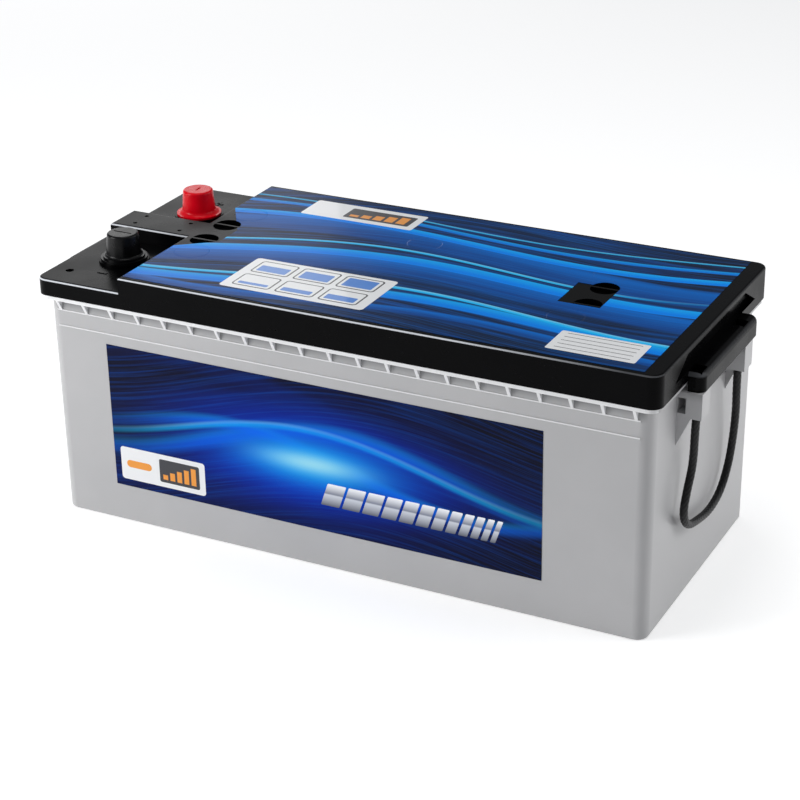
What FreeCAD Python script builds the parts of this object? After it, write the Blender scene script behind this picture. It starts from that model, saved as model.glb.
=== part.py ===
"""Sealed deep cycle battery: moulded case and lid, six plate stacks, posts, caps and rope handles.

Frame: X runs along the length with the terminals at the -X end, Y across the width, Z up.
The origin is the centre of the base. Lengths are in millimetres.
"""
import FreeCAD, Part
import math
import os
import re
import Sketcher

V = FreeCAD.Vector
doc = FreeCAD.newDocument("battery")

# ---------------------------------------------------------------------------------------------
# Driving dimensions
# ---------------------------------------------------------------------------------------------
SIZES = {
    # lid and case envelope
    "lid_length": 490.0,
    "lid_width": 223.0,
    "lid_corner": 9.0,
    "lid_overhang": 6.0,
    "seam_height": 179.0,
    "skirt_height": 13.0,
    "plateau_rise": 11.4,
    "deck_length": 73.7,
    "lid_top_thickness": 3.5,
    "deck_thickness": 6.0,
    "edge_round": 1.8,
    "cut_past": 1.0,
    "case_draft": 0.75,
    "case_corner": 9.0,
    "case_wall": 4.0,
    "case_floor": 5.0,
    "base_round": 2.0,
    "partition": 2.6,
    "rim_rise": 6.7,
    "seat_gap": 0.3,
    # flange, gussets and beads under the lid
    "flange_inset": 1.2,
    "flange_thickness": 3.4,
    "gusset_count": 21,
    "gusset_pitch": 22.75,
    "gusset_thickness": 2.3,
    "gusset_drop": 9.0,
    "bead_length": 461.0,
    "bead_height": 1.4,
    "bead_proud": 0.7,
    "upper_bead_drop": 11.5,
    "lower_bead_drop": 24.0,
    # carrying ledges and the rope bosses under them
    "ledge_reach": 11.5,
    "ledge_width": 115.0,
    "ledge_corner": 6.0,
    "ledge_drop": 7.5,
    "ledge_rise": 7.5,
    "ledge_shoulder": 5.0,
    "pocket_wall": 2.6,
    "pocket_half": 5.5,
    "boss_inset": 6.0,
    "boss_width": 16.0,
    "boss_height": 19.0,
    "boss_web": 3.0,
    "boss_head": 4.5,
    "boss_recess": 13.0,
    "brace_reach": 9.7,
    "brace_drop": 21.5,
    "brace_thickness": 3.0,
    # rope handles
    "rope_diameter": 6.0,
    "rope_clearance": 0.4,
    "rope_offset": 4.6,
    "rope_inset": 7.5,
    "inner_boss_inset": 14.0,
    "rope_gap": 0.3,
    "stopper_diameter": 7.6,
    "stopper_height": 9.0,
    # raised key between the terminals
    "key_setback": 4.5,
    "key_width": 33.0,
    "end_recess_low": 165.0,
    "end_recess_high": 119.0,
    "end_recess_drop": 4.0,
    "end_recess_depth": 4.5,
    "dimple_near": 21.8,
    "dimple_span": 40.2,
    "dimple_diameter": 3.4,
    "dimple_depth": 1.2,
    # terminals
    "post_setback": 41.0,
    "post_spacing": 107.0,
    "collar_diameter": 38.0,
    "collar_height": 1.8,
    "bushing_diameter": 26.0,
    "bushing_flange": 32.0,
    "bushing_flange_height": 3.4,
    "bushing_clearance": 0.05,
    "taper_height": 17.8,
    "taper_ratio": 9.0,
    "positive_top": 17.5,
    "negative_top": 15.9,
    "stem_diameter": 12.0,
    "cap_gap": 0.15,
    "cap_clearance": 0.55,
    "cap_roof": 1.8,
    "cap_foot": 35.0,
    "cap_body": 26.6,
    "cap_crown": 23.4,
    "cap_flare": 3.4,
    "cap_rim": 1.5,
    "cap_step": 1.8,
    "cap_round": 1.6,
    "cap_slot": 1.6,
    "positive_slot_half": 3.9,
    "negative_slot_half": 7.8,
    # pressure-relief valve plugs
    "valve_end": 95.0,
    "valve_row": 43.0,
    "plug_flange": 26.0,
    "plug_flange_height": 2.4,
    "plug_body": 20.0,
    "plug_length": 15.0,
    "plug_cup": 15.0,
    "plug_cup_depth": 8.0,
    "plug_clearance": 0.15,
    "gasket_thickness": 1.0,
    "chimney_wall": 3.0,
    "nozzle_diameter": 6.4,
    "nozzle_bore": 3.0,
    "nozzle_height": 4.6,
    "rubber_wall": 1.2,
    "rubber_gap": 0.05,
    # wells in the plateau and the gas outlet
    "well_end": 89.5,
    "well_pitch": 34.0,
    "well_diameter": 21.0,
    "well_depth": 9.0,
    "well_shelf": 2.5,
    "well_wall": 2.0,
    "well_bar": 2.0,
    "outlet_setback": 16.0,
    "outlet_inset": 22.5,
    "outlet_bore": 6.2,
    "outlet_boss": 10.2,
    "disc_diameter": 8.0,
    "disc_height": 2.4,
    "disc_clearance": 0.05,
    "disc_lip": 0.7,
    # plate stacks
    "plate_side": 6.5,
    "head_space": 33.0,
    "plate_foot": 3.0,
    "positive_thickness": 3.3,
    "negative_thickness": 2.5,
    "mat_thickness": 2.8,
    "mat_margin": 2.0,
    "stack_play": 0.05,
    "lug_width": 14.0,
    "lug_height": 13.0,
    "lug_inset": 6.0,
    "strap_width": 20.0,
    "strap_height": 6.0,
    "riser_height": 12.0,
    "riser_thickness": 3.6,
    "riser_gap": 0.2,
    "weld_diameter": 10.0,
    "foot_height": 5.0,
    "foot_margin": 2.0,
    # labels
    "label_thickness": 0.25,
    "label_glue": 0.02,
    "front_label_length": 351.0,
    "front_label_drop": 33.0,
    "front_label_left": 55.5,
    "front_label_foot": 30.5,
    "top_label_end": 12.5,
    "top_label_margin": 4.0,
    "notch_depth": 27.0,
    "notch_front": 17.0,
    "notch_rear": 10.0,
    "notch_front_flare": 21.0,
    "notch_rear_flare": 42.0,
    "window_length": 32.0,
    "window_half": 19.5,
}

sheet = doc.addObject("Spreadsheet::Sheet", "Sizes")
for row, (alias, size) in enumerate(SIZES.items(), start=1):
    sheet.set("A%d" % row, alias)
    sheet.set("B%d" % row, str(size))
    sheet.setAlias("B%d" % row, alias)
doc.recompute()


def ex(text):
    """Expression text with every size name pointed at its cell in the sheet."""
    def to_cell(match):
        word = match.group()
        return "Sizes." + word if word in SIZES else word
    return re.sub(r"[A-Za-z_]\w*", to_cell, str(text))


def value(text):
    """Present value of an expression in millimetres or degrees."""
    return float(sheet.evalExpression(ex(text)))


# Places that several pieces share, as expressions of the sizes above.
LID_X = "(lid_length / 2)"
LID_Y = "(lid_width / 2)"
WALL_X = "(lid_length / 2 - lid_overhang)"
WALL_Y = "(lid_width / 2 - lid_overhang)"
INNER_X = "(lid_length / 2 - lid_overhang - case_wall)"
INNER_Y = "(lid_width / 2 - lid_overhang - case_wall)"
DECK_Z = "(seam_height + skirt_height)"
PLATEAU_Z = "(seam_height + skirt_height + plateau_rise)"
RIM_Z = "(seam_height + rim_rise)"
STEP_X = "(deck_length - lid_length / 2)"
CELL_X = "((2 * %s - 2 * partition) / 3)" % INNER_X
CELL_Y = "((2 * %s - partition) / 2)" % INNER_Y
PITCH_X = "(%s + partition)" % CELL_X
ROW_Y = "((%s + partition) / 2)" % CELL_Y
POST_X = "(post_setback - lid_length / 2)"
POST_Y = "(post_spacing / 2)"
BOSS_X = "(lid_length / 2 + ledge_reach)"
LEDGE_LOW = "(seam_height - ledge_drop)"
LEDGE_TOP = "(seam_height + ledge_rise)"
BOSS_Y = "(ledge_width / 2 - boss_inset)"
BOSS_Z = "(%s - boss_height)" % LEDGE_LOW
ROPE_X = "(lid_length / 2 + rope_offset)"
ROPE_Y = "(ledge_width / 2 - rope_inset)"
PLATE_Z = "(case_floor + plate_foot)"
PLATE_TOP = "(seam_height - head_space)"
PLATE_X = "(%s / 2 - plate_side)" % CELL_X
STRAP_Z = "(%s + lug_height)" % PLATE_TOP
WELD_Z = "(%s + strap_height + riser_height / 2)" % STRAP_Z
PAIR_PITCH = "(positive_thickness + negative_thickness + 2 * mat_thickness + 4 * stack_play)"
POSITIVES = "floor((%s - negative_thickness) / %s)" % (CELL_Y, PAIR_PITCH)
COLLAR_Z = "(%s + collar_height)" % DECK_Z
OUTLET_X = "(outlet_setback - lid_length / 2)"
OUTLET_Y = "(outlet_inset - lid_width / 2)"
LUG_X = "(%s - lug_inset - lug_width / 2)" % PLATE_X
LUG_END = "(%s + %s)" % (PITCH_X, LUG_X)
SEAT_Z = "(%s - plug_flange_height - gasket_thickness)" % PLATEAU_Z
AXIS_Z = "(%s - rope_gap - rope_diameter / 2)" % BOSS_Z
VALVE_X, WELL_X = "(lid_length / 2 - valve_end)", "(lid_length / 2 - well_end)"
VALVES = [(f"{column} * {VALVE_X}", f"{row} * valve_row") for row in (-1, 1) for column in (-1, 0, 1)]
WELLS = [(f"{end} * {WELL_X}", f"{row} * well_pitch / 2") for end in (-1, 1) for row in (-1, 1)]


# ---------------------------------------------------------------------------------------------
# Modelling helpers
# ---------------------------------------------------------------------------------------------
def new_body(label):
    """An empty PartDesign body that becomes one named piece."""
    body = doc.addObject("PartDesign::Body", label)
    body.Label = label
    body.AllowCompound = True
    return body


def new_sketch(body, role, offset="0"):
    """A sketch on one of the body's own origin planes, moved along the plane's normal."""
    plane = next(f for f in body.Origin.OriginFeatures if f.Role == role)
    sketch = body.newObject("Sketcher::SketchObject", "%s_sketch" % body.Name)
    sketch.AttachmentSupport = (plane, "")
    sketch.MapMode = "FlatFace"
    sketch.setExpression("AttachmentOffset.Base.z", ex(offset))
    sketch.AttachmentOffset = FreeCAD.Placement(V(0, 0, value(offset)), FreeCAD.Rotation())
    return sketch


def bind(sketch, constraint, text):
    """Add a dimension to the sketch and tie it to an expression."""
    index = sketch.addConstraint(constraint)
    name = "size_%d" % index
    sketch.renameConstraint(index, name)
    sketch.setExpression("Constraints." + name, ex(text))


def polygon(sketch, points):
    """Closed outline through points given as pairs of expressions."""
    spots = [V(value(x), value(y), 0) for x, y in points]
    first = sketch.GeometryCount
    count = len(spots)
    for i in range(count):
        sketch.addGeometry(Part.LineSegment(spots[i], spots[(i + 1) % count]), False)
    for i in range(count):
        sketch.addConstraint(Sketcher.Constraint("Coincident", first + i, 2, first + (i + 1) % count, 1))
    for i, (x, y) in enumerate(points):
        bind(sketch, Sketcher.Constraint("DistanceX", -1, 1, first + i, 1, spots[i].x), x)
        bind(sketch, Sketcher.Constraint("DistanceY", -1, 1, first + i, 1, spots[i].y), y)


def rectangle(sketch, x0, x1, y0, y1):
    """Axis-aligned rectangle between four expressions."""
    polygon(sketch, [(x0, y0), (x1, y0), (x1, y1), (x0, y1)])


def rounded(sketch, x0, x1, y0, y1, radius):
    """Rectangle with four round corners, held by its sides and one radius."""
    left, right, low, high, r = (value(t) for t in (x0, x1, y0, y1, radius))
    first = sketch.GeometryCount
    corners = [((right - r, low + r), 1.5), ((right - r, high - r), 0.0),
               ((left + r, high - r), 0.5), ((left + r, low + r), 1.0)]
    ends = [((left + r, low), (right - r, low)), ((right, low + r), (right, high - r)),
            ((right - r, high), (left + r, high)), ((left, high - r), (left, low + r))]
    for (a, b), (centre, turn) in zip(ends, corners):
        sketch.addGeometry(Part.LineSegment(V(a[0], a[1], 0), V(b[0], b[1], 0)), False)
        circle = Part.Circle(V(centre[0], centre[1], 0), V(0, 0, 1), r)
        start = turn * math.pi
        sketch.addGeometry(Part.ArcOfCircle(circle, start, start + math.pi / 2), False)
    for i in range(4):
        line, arc, following = first + 2 * i, first + 2 * i + 1, first + (2 * i + 2) % 8
        sketch.addConstraint(Sketcher.Constraint("Tangent", line, 2, arc, 1))
        sketch.addConstraint(Sketcher.Constraint("Tangent", arc, 2, following, 1))
        sketch.addConstraint(Sketcher.Constraint("Horizontal" if i % 2 == 0 else "Vertical", line))
        if i:
            sketch.addConstraint(Sketcher.Constraint("Equal", first + 1, arc))
    bind(sketch, Sketcher.Constraint("Radius", first + 1, r), radius)
    bind(sketch, Sketcher.Constraint("DistanceY", -1, 1, first, 1, low), y0)
    bind(sketch, Sketcher.Constraint("DistanceX", -1, 1, first + 2, 1, right), x1)
    bind(sketch, Sketcher.Constraint("DistanceY", -1, 1, first + 4, 1, high), y1)
    bind(sketch, Sketcher.Constraint("DistanceX", -1, 1, first + 6, 1, left), x0)


def circle(sketch, x, y, diameter):
    """Circle held by its centre and diameter."""
    spot = V(value(x), value(y), 0)
    index = sketch.addGeometry(Part.Circle(spot, V(0, 0, 1), value(diameter) / 2), False)
    bind(sketch, Sketcher.Constraint("Diameter", index, value(diameter)), diameter)
    bind(sketch, Sketcher.Constraint("DistanceX", -1, 1, index, 3, spot.x), x)
    bind(sketch, Sketcher.Constraint("DistanceY", -1, 1, index, 3, spot.y), y)


def half_disc(sketch, x, y, diameter, side):
    """Half circle on the front (-1) or rear (1) of a level chord through its centre."""
    cx, cy, r = value(x), value(y), value(diameter) / 2
    start = 0.0 if side > 0 else math.pi
    ring = Part.Circle(V(cx, cy, 0), V(0, 0, 1), r)
    arc = sketch.addGeometry(Part.ArcOfCircle(ring, start, start + math.pi), False)
    chord = sketch.addGeometry(Part.LineSegment(V(cx - side * r, cy, 0), V(cx + side * r, cy, 0)), False)
    sketch.addConstraint(Sketcher.Constraint("Coincident", arc, 2, chord, 1))
    sketch.addConstraint(Sketcher.Constraint("Coincident", chord, 2, arc, 1))
    sketch.addConstraint(Sketcher.Constraint("Horizontal", chord))
    sketch.addConstraint(Sketcher.Constraint("PointOnObject", arc, 3, chord))
    bind(sketch, Sketcher.Constraint("Radius", arc, r), f"{diameter} / 2")
    bind(sketch, Sketcher.Constraint("DistanceX", -1, 1, arc, 3, cx), x)
    bind(sketch, Sketcher.Constraint("DistanceY", -1, 1, arc, 3, cy), y)


def span(end, near, far):
    """Two X expressions in rising order for a block at the left (-1) or right (1) end."""
    return (f"-({far})", f"-({near})") if end < 0 else (near, far)


def pad(body, sketch, length, midplane=False):
    """Extrude a sketch along its plane's normal."""
    feature = body.newObject("PartDesign::Pad", "%s_pad" % body.Name)
    feature.Profile = sketch
    feature.SideType = "Symmetric" if midplane else "One side"
    feature.setExpression("Length", ex(length))
    doc.recompute()
    return feature


def cut(body, sketch, length, downward=True, midplane=False):
    """Pocket a sketch; the direction is set here and proved by the loss of volume."""
    before = body.Shape.Volume
    feature = body.newObject("PartDesign::Pocket", "%s_pocket" % body.Name)
    feature.Profile = sketch
    feature.SideType = "Symmetric" if midplane else "One side"
    feature.Reversed = not downward
    feature.setExpression("Length", ex(length))
    doc.recompute()
    if body.Shape.Volume >= before - 1e-6:
        raise RuntimeError("%s: pocket %s removes nothing" % (body.Label, feature.Name))
    return feature


def repeat(body, features, axis_role, span, count):
    """Linear pattern of features along one of the body's axes."""
    axis = next(f for f in body.Origin.OriginFeatures if f.Role == axis_role)
    pattern = body.newObject("PartDesign::LinearPattern", "%s_pattern" % body.Name)
    pattern.Originals = features
    pattern.Direction = (axis, [""])
    pattern.setExpression("Length", ex(span))
    pattern.setExpression("Occurrences", ex(count))
    body.Tip = pattern
    doc.recompute()
    return pattern


def fillet(body, radius, chosen):
    """Round the edges that the test picks out of the body's present shape."""
    names = ["Edge%d" % (i + 1) for i, edge in enumerate(body.Shape.Edges) if chosen(edge)]
    carrier = body.Tip
    feature = body.newObject("PartDesign::Fillet", "%s_fillet" % body.Name)
    feature.Base = (carrier, names)
    feature.setExpression("Radius", ex(radius))
    doc.recompute()
    return feature


def revolve(body, points):
    """Full turn about the Z axis of an outline in the XZ plane."""
    sketch = new_sketch(body, "XZ_Plane")
    polygon(sketch, points)
    feature = body.newObject("PartDesign::Revolution", "%s_revolution" % body.Name)
    feature.Profile = sketch
    feature.ReferenceAxis = (sketch, ["V_Axis"])
    feature.Angle = 360
    doc.recompute()
    return feature


def place(thing, x, y, z):
    """Stand a finished piece at a point given by three expressions."""
    for axis, text in zip("xyz", (x, y, z)):
        thing.setExpression("Placement.Base." + axis, ex(text))


def across_at(end, side, half):
    """Place across the case of a boss, bore or pocket; one of each pair stands further in."""
    return f"{side} * ({half} - inner_boss_inset)" if side == end else f"{side} * {half}"


def edge_at(z, x_range=None):
    """Test for level edges at one height, optionally between two X places."""
    def chosen(edge):
        box = edge.BoundBox
        level = abs(box.ZMin - z) < 1e-3 and abs(box.ZMax - z) < 1e-3
        inside = x_range is None or (box.XMin > x_range[0] and box.XMax < x_range[1])
        return level and inside
    return chosen


ends = (("left", -1), ("right", 1))


# ---------------------------------------------------------------------------------------------
# Case: drafted box with six cells, flange, gussets, beads and rope bosses
# ---------------------------------------------------------------------------------------------
def make_case():
    body = new_body("case")

    # outer wall, a little narrower at the foot so that the moulding releases
    foot = new_sketch(body, "XY_Plane")
    rounded(foot, f"case_draft - {WALL_X}", f"{WALL_X} - case_draft",
            f"case_draft - {WALL_Y}", f"{WALL_Y} - case_draft", "case_corner")
    walls = pad(body, foot, RIM_Z)
    walls.setExpression("TaperAngle", ex(f"atan(case_draft / {RIM_Z})"))
    doc.recompute()
    fillet(body, "base_round", edge_at(0.0))

    # flange under the lid, its edge just inside the lid's skirt
    flange = new_sketch(body, "XY_Plane", "seam_height - flange_thickness")
    rounded(flange, f"flange_inset - {LID_X}", f"{LID_X} - flange_inset",
            f"flange_inset - {LID_Y}", f"{LID_Y} - flange_inset", "lid_corner")
    pad(body, flange, "flange_thickness")

    # the open top above the partitions, then the six cells down to the floor
    mouth = new_sketch(body, "XY_Plane", RIM_Z)
    rectangle(mouth, f"-{INNER_X}", INNER_X, f"-{INNER_Y}", INNER_Y)
    cut(body, mouth, "rim_rise")
    cells = new_sketch(body, "XY_Plane", "seam_height")
    for column in (-1, 0, 1):
        for row in (-1, 1):
            rectangle(cells, f"{column} * {PITCH_X} - {CELL_X} / 2", f"{column} * {PITCH_X} + {CELL_X} / 2",
                      f"{row} * {ROW_Y} - {CELL_Y} / 2", f"{row} * {ROW_Y} + {CELL_Y} / 2")
    cut(body, cells, "seam_height - case_floor")

    # holes that the welds pass through: four in the cross walls, one in the long wall
    across = new_sketch(body, "YZ_Plane")
    for row in (-1, 1):
        circle(across, f"{row} * {ROW_Y}", WELD_Z, "weld_diameter")
    cut(body, across, f"{PITCH_X} + 2 * partition", midplane=True)
    along = new_sketch(body, "XZ_Plane")
    circle(along, LUG_END, WELD_Z, "weld_diameter")
    cut(body, along, "2 * partition", midplane=True)

    # gussets under the flange on both long sides
    gusset = new_sketch(body, "YZ_Plane", "-gusset_pitch * (gusset_count - 1) / 2")
    low = "seam_height - flange_thickness"
    for side in (-1, 1):
        polygon(gusset, [(f"{side} * ({WALL_Y} - case_wall / 2)", f"{low} - gusset_drop"),
                         (f"{side} * {WALL_Y}", f"{low} - gusset_drop"),
                         (f"{side} * ({LID_Y} - flange_inset)", f"{low}"),
                         (f"{side} * ({WALL_Y} - case_wall / 2)", f"{low}")])
    first = pad(body, gusset, "gusset_thickness", midplane=True)
    repeat(body, [first], "X_Axis", "gusset_pitch * (gusset_count - 1)", "gusset_count")

    # two fine beads along each long side
    beads = new_sketch(body, "YZ_Plane")
    for side in (-1, 1):
        for drop in ("upper_bead_drop", "lower_bead_drop"):
            polygon(beads, [(f"{side} * ({WALL_Y} - case_wall / 2)", f"seam_height - {drop} - bead_height"),
                            (f"{side} * {WALL_Y}", f"seam_height - {drop} - bead_height"),
                            (f"{side} * ({WALL_Y} + bead_proud)", f"seam_height - {drop}"),
                            (f"{side} * ({WALL_Y} - case_wall / 2)", f"seam_height - {drop}")])
    pad(body, beads, "bead_length", midplane=True)

    # four rope bosses: a block, a recess beside the wall, a brace below and the rope's bore
    bosses = new_sketch(body, "XY_Plane", BOSS_Z)
    bores = new_sketch(body, "XY_Plane", LEDGE_LOW)
    recesses, braces = [], []
    inside = f"({WALL_X} - case_wall / 2)"
    for end in (-1, 1):
        for side in (-1, 1):
            middle = across_at(end, side, BOSS_Y)
            rectangle(bosses, *span(end, inside, BOSS_X),
                      f"{middle} - boss_width / 2", f"{middle} + boss_width / 2")
            circle(bores, f"{end} * {ROPE_X}", across_at(end, side, ROPE_Y), "rope_diameter + rope_clearance")
            recess = new_sketch(body, "XZ_Plane", f"-({middle} + {side} * boss_width / 2)")
            rectangle(recess, *span(end, WALL_X, LID_X), f"{BOSS_Z} + boss_web", f"{LEDGE_LOW} - boss_head")
            recesses.append((recess, side < 0))
            brace = new_sketch(body, "XZ_Plane", f"-({middle} + {side} * (boss_width - brace_thickness) / 2)")
            polygon(brace, [(f"{end} * {inside}", BOSS_Z), (f"{end} * ({WALL_X} + brace_reach)", BOSS_Z),
                            (f"{end} * {WALL_X}", f"{BOSS_Z} - brace_drop"),
                            (f"{end} * {inside}", f"{BOSS_Z} - brace_drop")])
            braces.append(brace)
    pad(body, bosses, "boss_height")
    for recess, downward in recesses:
        cut(body, recess, "boss_recess", downward=downward)
    for brace in braces:
        pad(body, brace, "brace_thickness", midplane=True)
    cut(body, bores, "boss_height")
    return body


# ---------------------------------------------------------------------------------------------
# Lid: deck, raised plateau with its key, ledges, wells, chimneys and collars
# ---------------------------------------------------------------------------------------------
def make_lid():
    body = new_body("lid")
    deck = new_sketch(body, "XY_Plane", "seam_height")
    rounded(deck, f"-{LID_X}", LID_X, f"-{LID_Y}", LID_Y, "lid_corner")
    pad(body, deck, "skirt_height")

    # the plateau is the same outline cut off square at the terminal end, and the key reaches past it
    plateau = new_sketch(body, "XY_Plane", DECK_Z)
    rounded(plateau, f"-{LID_X}", LID_X, f"-{LID_Y}", LID_Y, "lid_corner")
    pad(body, plateau, "plateau_rise")
    terminal_end = new_sketch(body, "XY_Plane", PLATEAU_Z)
    past_x, past_y, key_x = f"-{LID_X} - cut_past", f"({LID_Y} + cut_past)", f"-{LID_X} + key_setback"
    polygon(terminal_end, [(past_x, f"-{past_y}"), (STEP_X, f"-{past_y}"), (STEP_X, "-key_width / 2"),
                           (key_x, "-key_width / 2"), (key_x, "key_width / 2"), (STEP_X, "key_width / 2"),
                           (STEP_X, past_y), (past_x, past_y)])
    cut(body, terminal_end, "plateau_rise")

    # ledges at both ends, standing on the rope bosses
    upper = new_sketch(body, "XY_Plane", "seam_height")
    lower = new_sketch(body, "XY_Plane", LEDGE_LOW)
    for end in (-1, 1):
        rectangle(upper, *span(end, f"{LID_X} - case_wall", BOSS_X), "-ledge_width / 2", "ledge_width / 2")
        rectangle(lower, *span(end, LID_X, BOSS_X), "-ledge_width / 2", "ledge_width / 2")
    pad(body, upper, "ledge_rise")
    pad(body, lower, "ledge_drop")
    reach, half = value(BOSS_X), value("ledge_width / 2")

    def upright_corner(edge):
        box = edge.BoundBox
        return (abs(abs(box.XMin) - reach) < 1e-3 and abs(abs(box.YMin) - half) < 1e-3
                and box.XLength < 1e-3 and box.YLength < 1e-3)
    fillet(body, "ledge_corner", upright_corner)
    top, beyond = value(LEDGE_TOP), value(f"{LID_X} + seat_gap")
    fillet(body, "ledge_shoulder", lambda e: edge_at(top)(e) and abs(e.CenterOfMass.x) > beyond)

    # soft outer edges of the deck, the plateau and the key
    high, level = value(PLATEAU_Z), value(DECK_Z)
    near_end, near_side = value(f"lid_corner / 3 - {LID_X}"), value(f"{LID_Y} - lid_corner / 3")

    def rim_edge(edge):
        spot = edge.CenterOfMass
        outer = spot.x < near_end or abs(spot.y) > near_side
        return edge_at(high)(edge) or (edge_at(level)(edge) and outer)
    fillet(body, "edge_round", rim_edge)

    # hollow underside: a seat for the case rim, then the space under the plateau
    seat = new_sketch(body, "XY_Plane", "seam_height")
    rounded(seat, f"-{WALL_X} - seat_gap", f"{WALL_X} + seat_gap",
            f"-{WALL_Y} - seat_gap", f"{WALL_Y} + seat_gap", "case_corner + seat_gap")
    cut(body, seat, "rim_rise + seat_gap", downward=False)
    hollow = new_sketch(body, "XY_Plane", "seam_height")
    rectangle(hollow, f"{STEP_X} + lid_top_thickness", INNER_X, f"-{INNER_Y}", INNER_Y)
    cut(body, hollow, "skirt_height + plateau_rise - lid_top_thickness", downward=False)

    # ribs that meet the partitions of the case
    ribs = new_sketch(body, "XY_Plane", "seam_height")
    reach_x, reach_y, half_rib = f"({INNER_X} - seat_gap)", f"({INNER_Y} - seat_gap)", "(partition / 2)"
    wall_x = f"({PITCH_X} / 2)"
    corners = [(f"-{reach_x}", f"-{half_rib}"), (f"-{wall_x} - {half_rib}", f"-{half_rib}"),
               (f"-{wall_x} - {half_rib}", f"-{reach_y}"), (f"-{wall_x} + {half_rib}", f"-{reach_y}"),
               (f"-{wall_x} + {half_rib}", f"-{half_rib}"), (f"{wall_x} - {half_rib}", f"-{half_rib}"),
               (f"{wall_x} - {half_rib}", f"-{reach_y}"), (f"{wall_x} + {half_rib}", f"-{reach_y}"),
               (f"{wall_x} + {half_rib}", f"-{half_rib}"), (reach_x, f"-{half_rib}")]
    polygon(ribs, corners + [(f"-({x})", f"-({y})") for x, y in corners])
    pad(body, ribs, "rim_rise + deck_thickness")

    # chimneys and wells hang from the plateau, the outlet boss from the deck
    chimneys = new_sketch(body, "XY_Plane", f"{PLATEAU_Z} - plug_flange_height - plug_length")
    seats = new_sketch(body, "XY_Plane", PLATEAU_Z)
    bores = new_sketch(body, "XY_Plane", PLATEAU_Z)
    for x, y in VALVES:
        circle(chimneys, x, y, "plug_flange + 2 * chimney_wall")
        circle(seats, x, y, "plug_flange + 2 * plug_clearance")
        circle(bores, x, y, "plug_body + 2 * plug_clearance")
    pad(body, chimneys, "plug_length")
    cut(body, seats, "plug_flange_height + gasket_thickness")
    cut(body, bores, "plug_flange_height + plug_length")
    cups = new_sketch(body, "XY_Plane", f"{PLATEAU_Z} - well_depth - well_wall")
    shelves = new_sketch(body, "XY_Plane", PLATEAU_Z)
    depths = new_sketch(body, "XY_Plane", PLATEAU_Z)
    for x, y in WELLS:
        circle(cups, x, y, "well_diameter + 2 * well_wall")
        half_disc(shelves, x, f"{y} - well_bar / 2", "well_diameter", -1)
        half_disc(depths, x, f"{y} + well_bar / 2", "well_diameter", 1)
    pad(body, cups, "well_depth + well_wall - lid_top_thickness / 2")
    cut(body, shelves, "well_shelf")
    cut(body, depths, "well_depth")
    nipple = new_sketch(body, "XY_Plane", "seam_height + seat_gap")
    circle(nipple, OUTLET_X, OUTLET_Y, "outlet_boss")
    pad(body, nipple, "rim_rise + deck_thickness / 2")

    # collars with the bores of the lead bushings, and the gas outlet over its disc seat
    collars = new_sketch(body, "XY_Plane", DECK_Z)
    bushings = new_sketch(body, "XY_Plane", COLLAR_Z)
    for side in (-1, 1):
        circle(collars, POST_X, f"{side} * {POST_Y}", "collar_diameter")
        circle(bushings, POST_X, f"{side} * {POST_Y}", "bushing_diameter + 2 * bushing_clearance")
    pad(body, collars, "collar_height")
    cut(body, bushings, "collar_height + skirt_height")
    outlet = new_sketch(body, "XY_Plane", DECK_Z)
    circle(outlet, OUTLET_X, OUTLET_Y, "outlet_bore")
    cut(body, outlet, "skirt_height")
    disc_seat = new_sketch(body, "XY_Plane", "seam_height")
    circle(disc_seat, OUTLET_X, OUTLET_Y, "disc_diameter + 2 * disc_clearance")
    cut(body, disc_seat, "seat_gap + disc_height + disc_lip", downward=False)

    # a shallow recess in the end wall, over the ledge
    end_wall = new_sketch(body, "YZ_Plane", LID_X)
    high_z = f"{PLATEAU_Z} - end_recess_drop"
    polygon(end_wall, [("-end_recess_low / 2", LEDGE_TOP), ("end_recess_low / 2", LEDGE_TOP),
                       ("end_recess_high / 2", high_z), ("-end_recess_high / 2", high_z)])
    cut(body, end_wall, "end_recess_depth")

    # dimples in the key, and the rope stoppers' pockets in the ledges
    dimples = new_sketch(body, "XY_Plane", PLATEAU_Z)
    for x in ("dimple_near", "dimple_near + dimple_span"):
        for side in (-1, 1):
            circle(dimples, f"{x} - {LID_X}", f"{side} * key_width / 4", "dimple_diameter")
    cut(body, dimples, "dimple_depth")
    pockets = new_sketch(body, "XY_Plane", LEDGE_TOP)
    for end in (-1, 1):
        for side in (-1, 1):
            middle = across_at(end, side, ROPE_Y)
            rectangle(pockets, *span(end, LID_X, f"{BOSS_X} - pocket_wall"),
                      f"{middle} - pocket_half", f"{middle} + pocket_half")
    cut(body, pockets, "ledge_rise + ledge_drop")
    return body


# ---------------------------------------------------------------------------------------------
# Plate stacks: six cells in two rows of three, numbered along the current from the negative post
# ---------------------------------------------------------------------------------------------
# number, column, row, and which X end of the cell its positive strap is at
CELLS = [(1, -1, -1, 1), (2, 0, -1, 1), (3, 1, -1, 1), (4, 1, 1, -1), (5, 0, 1, -1), (6, -1, 1, -1)]


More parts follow.
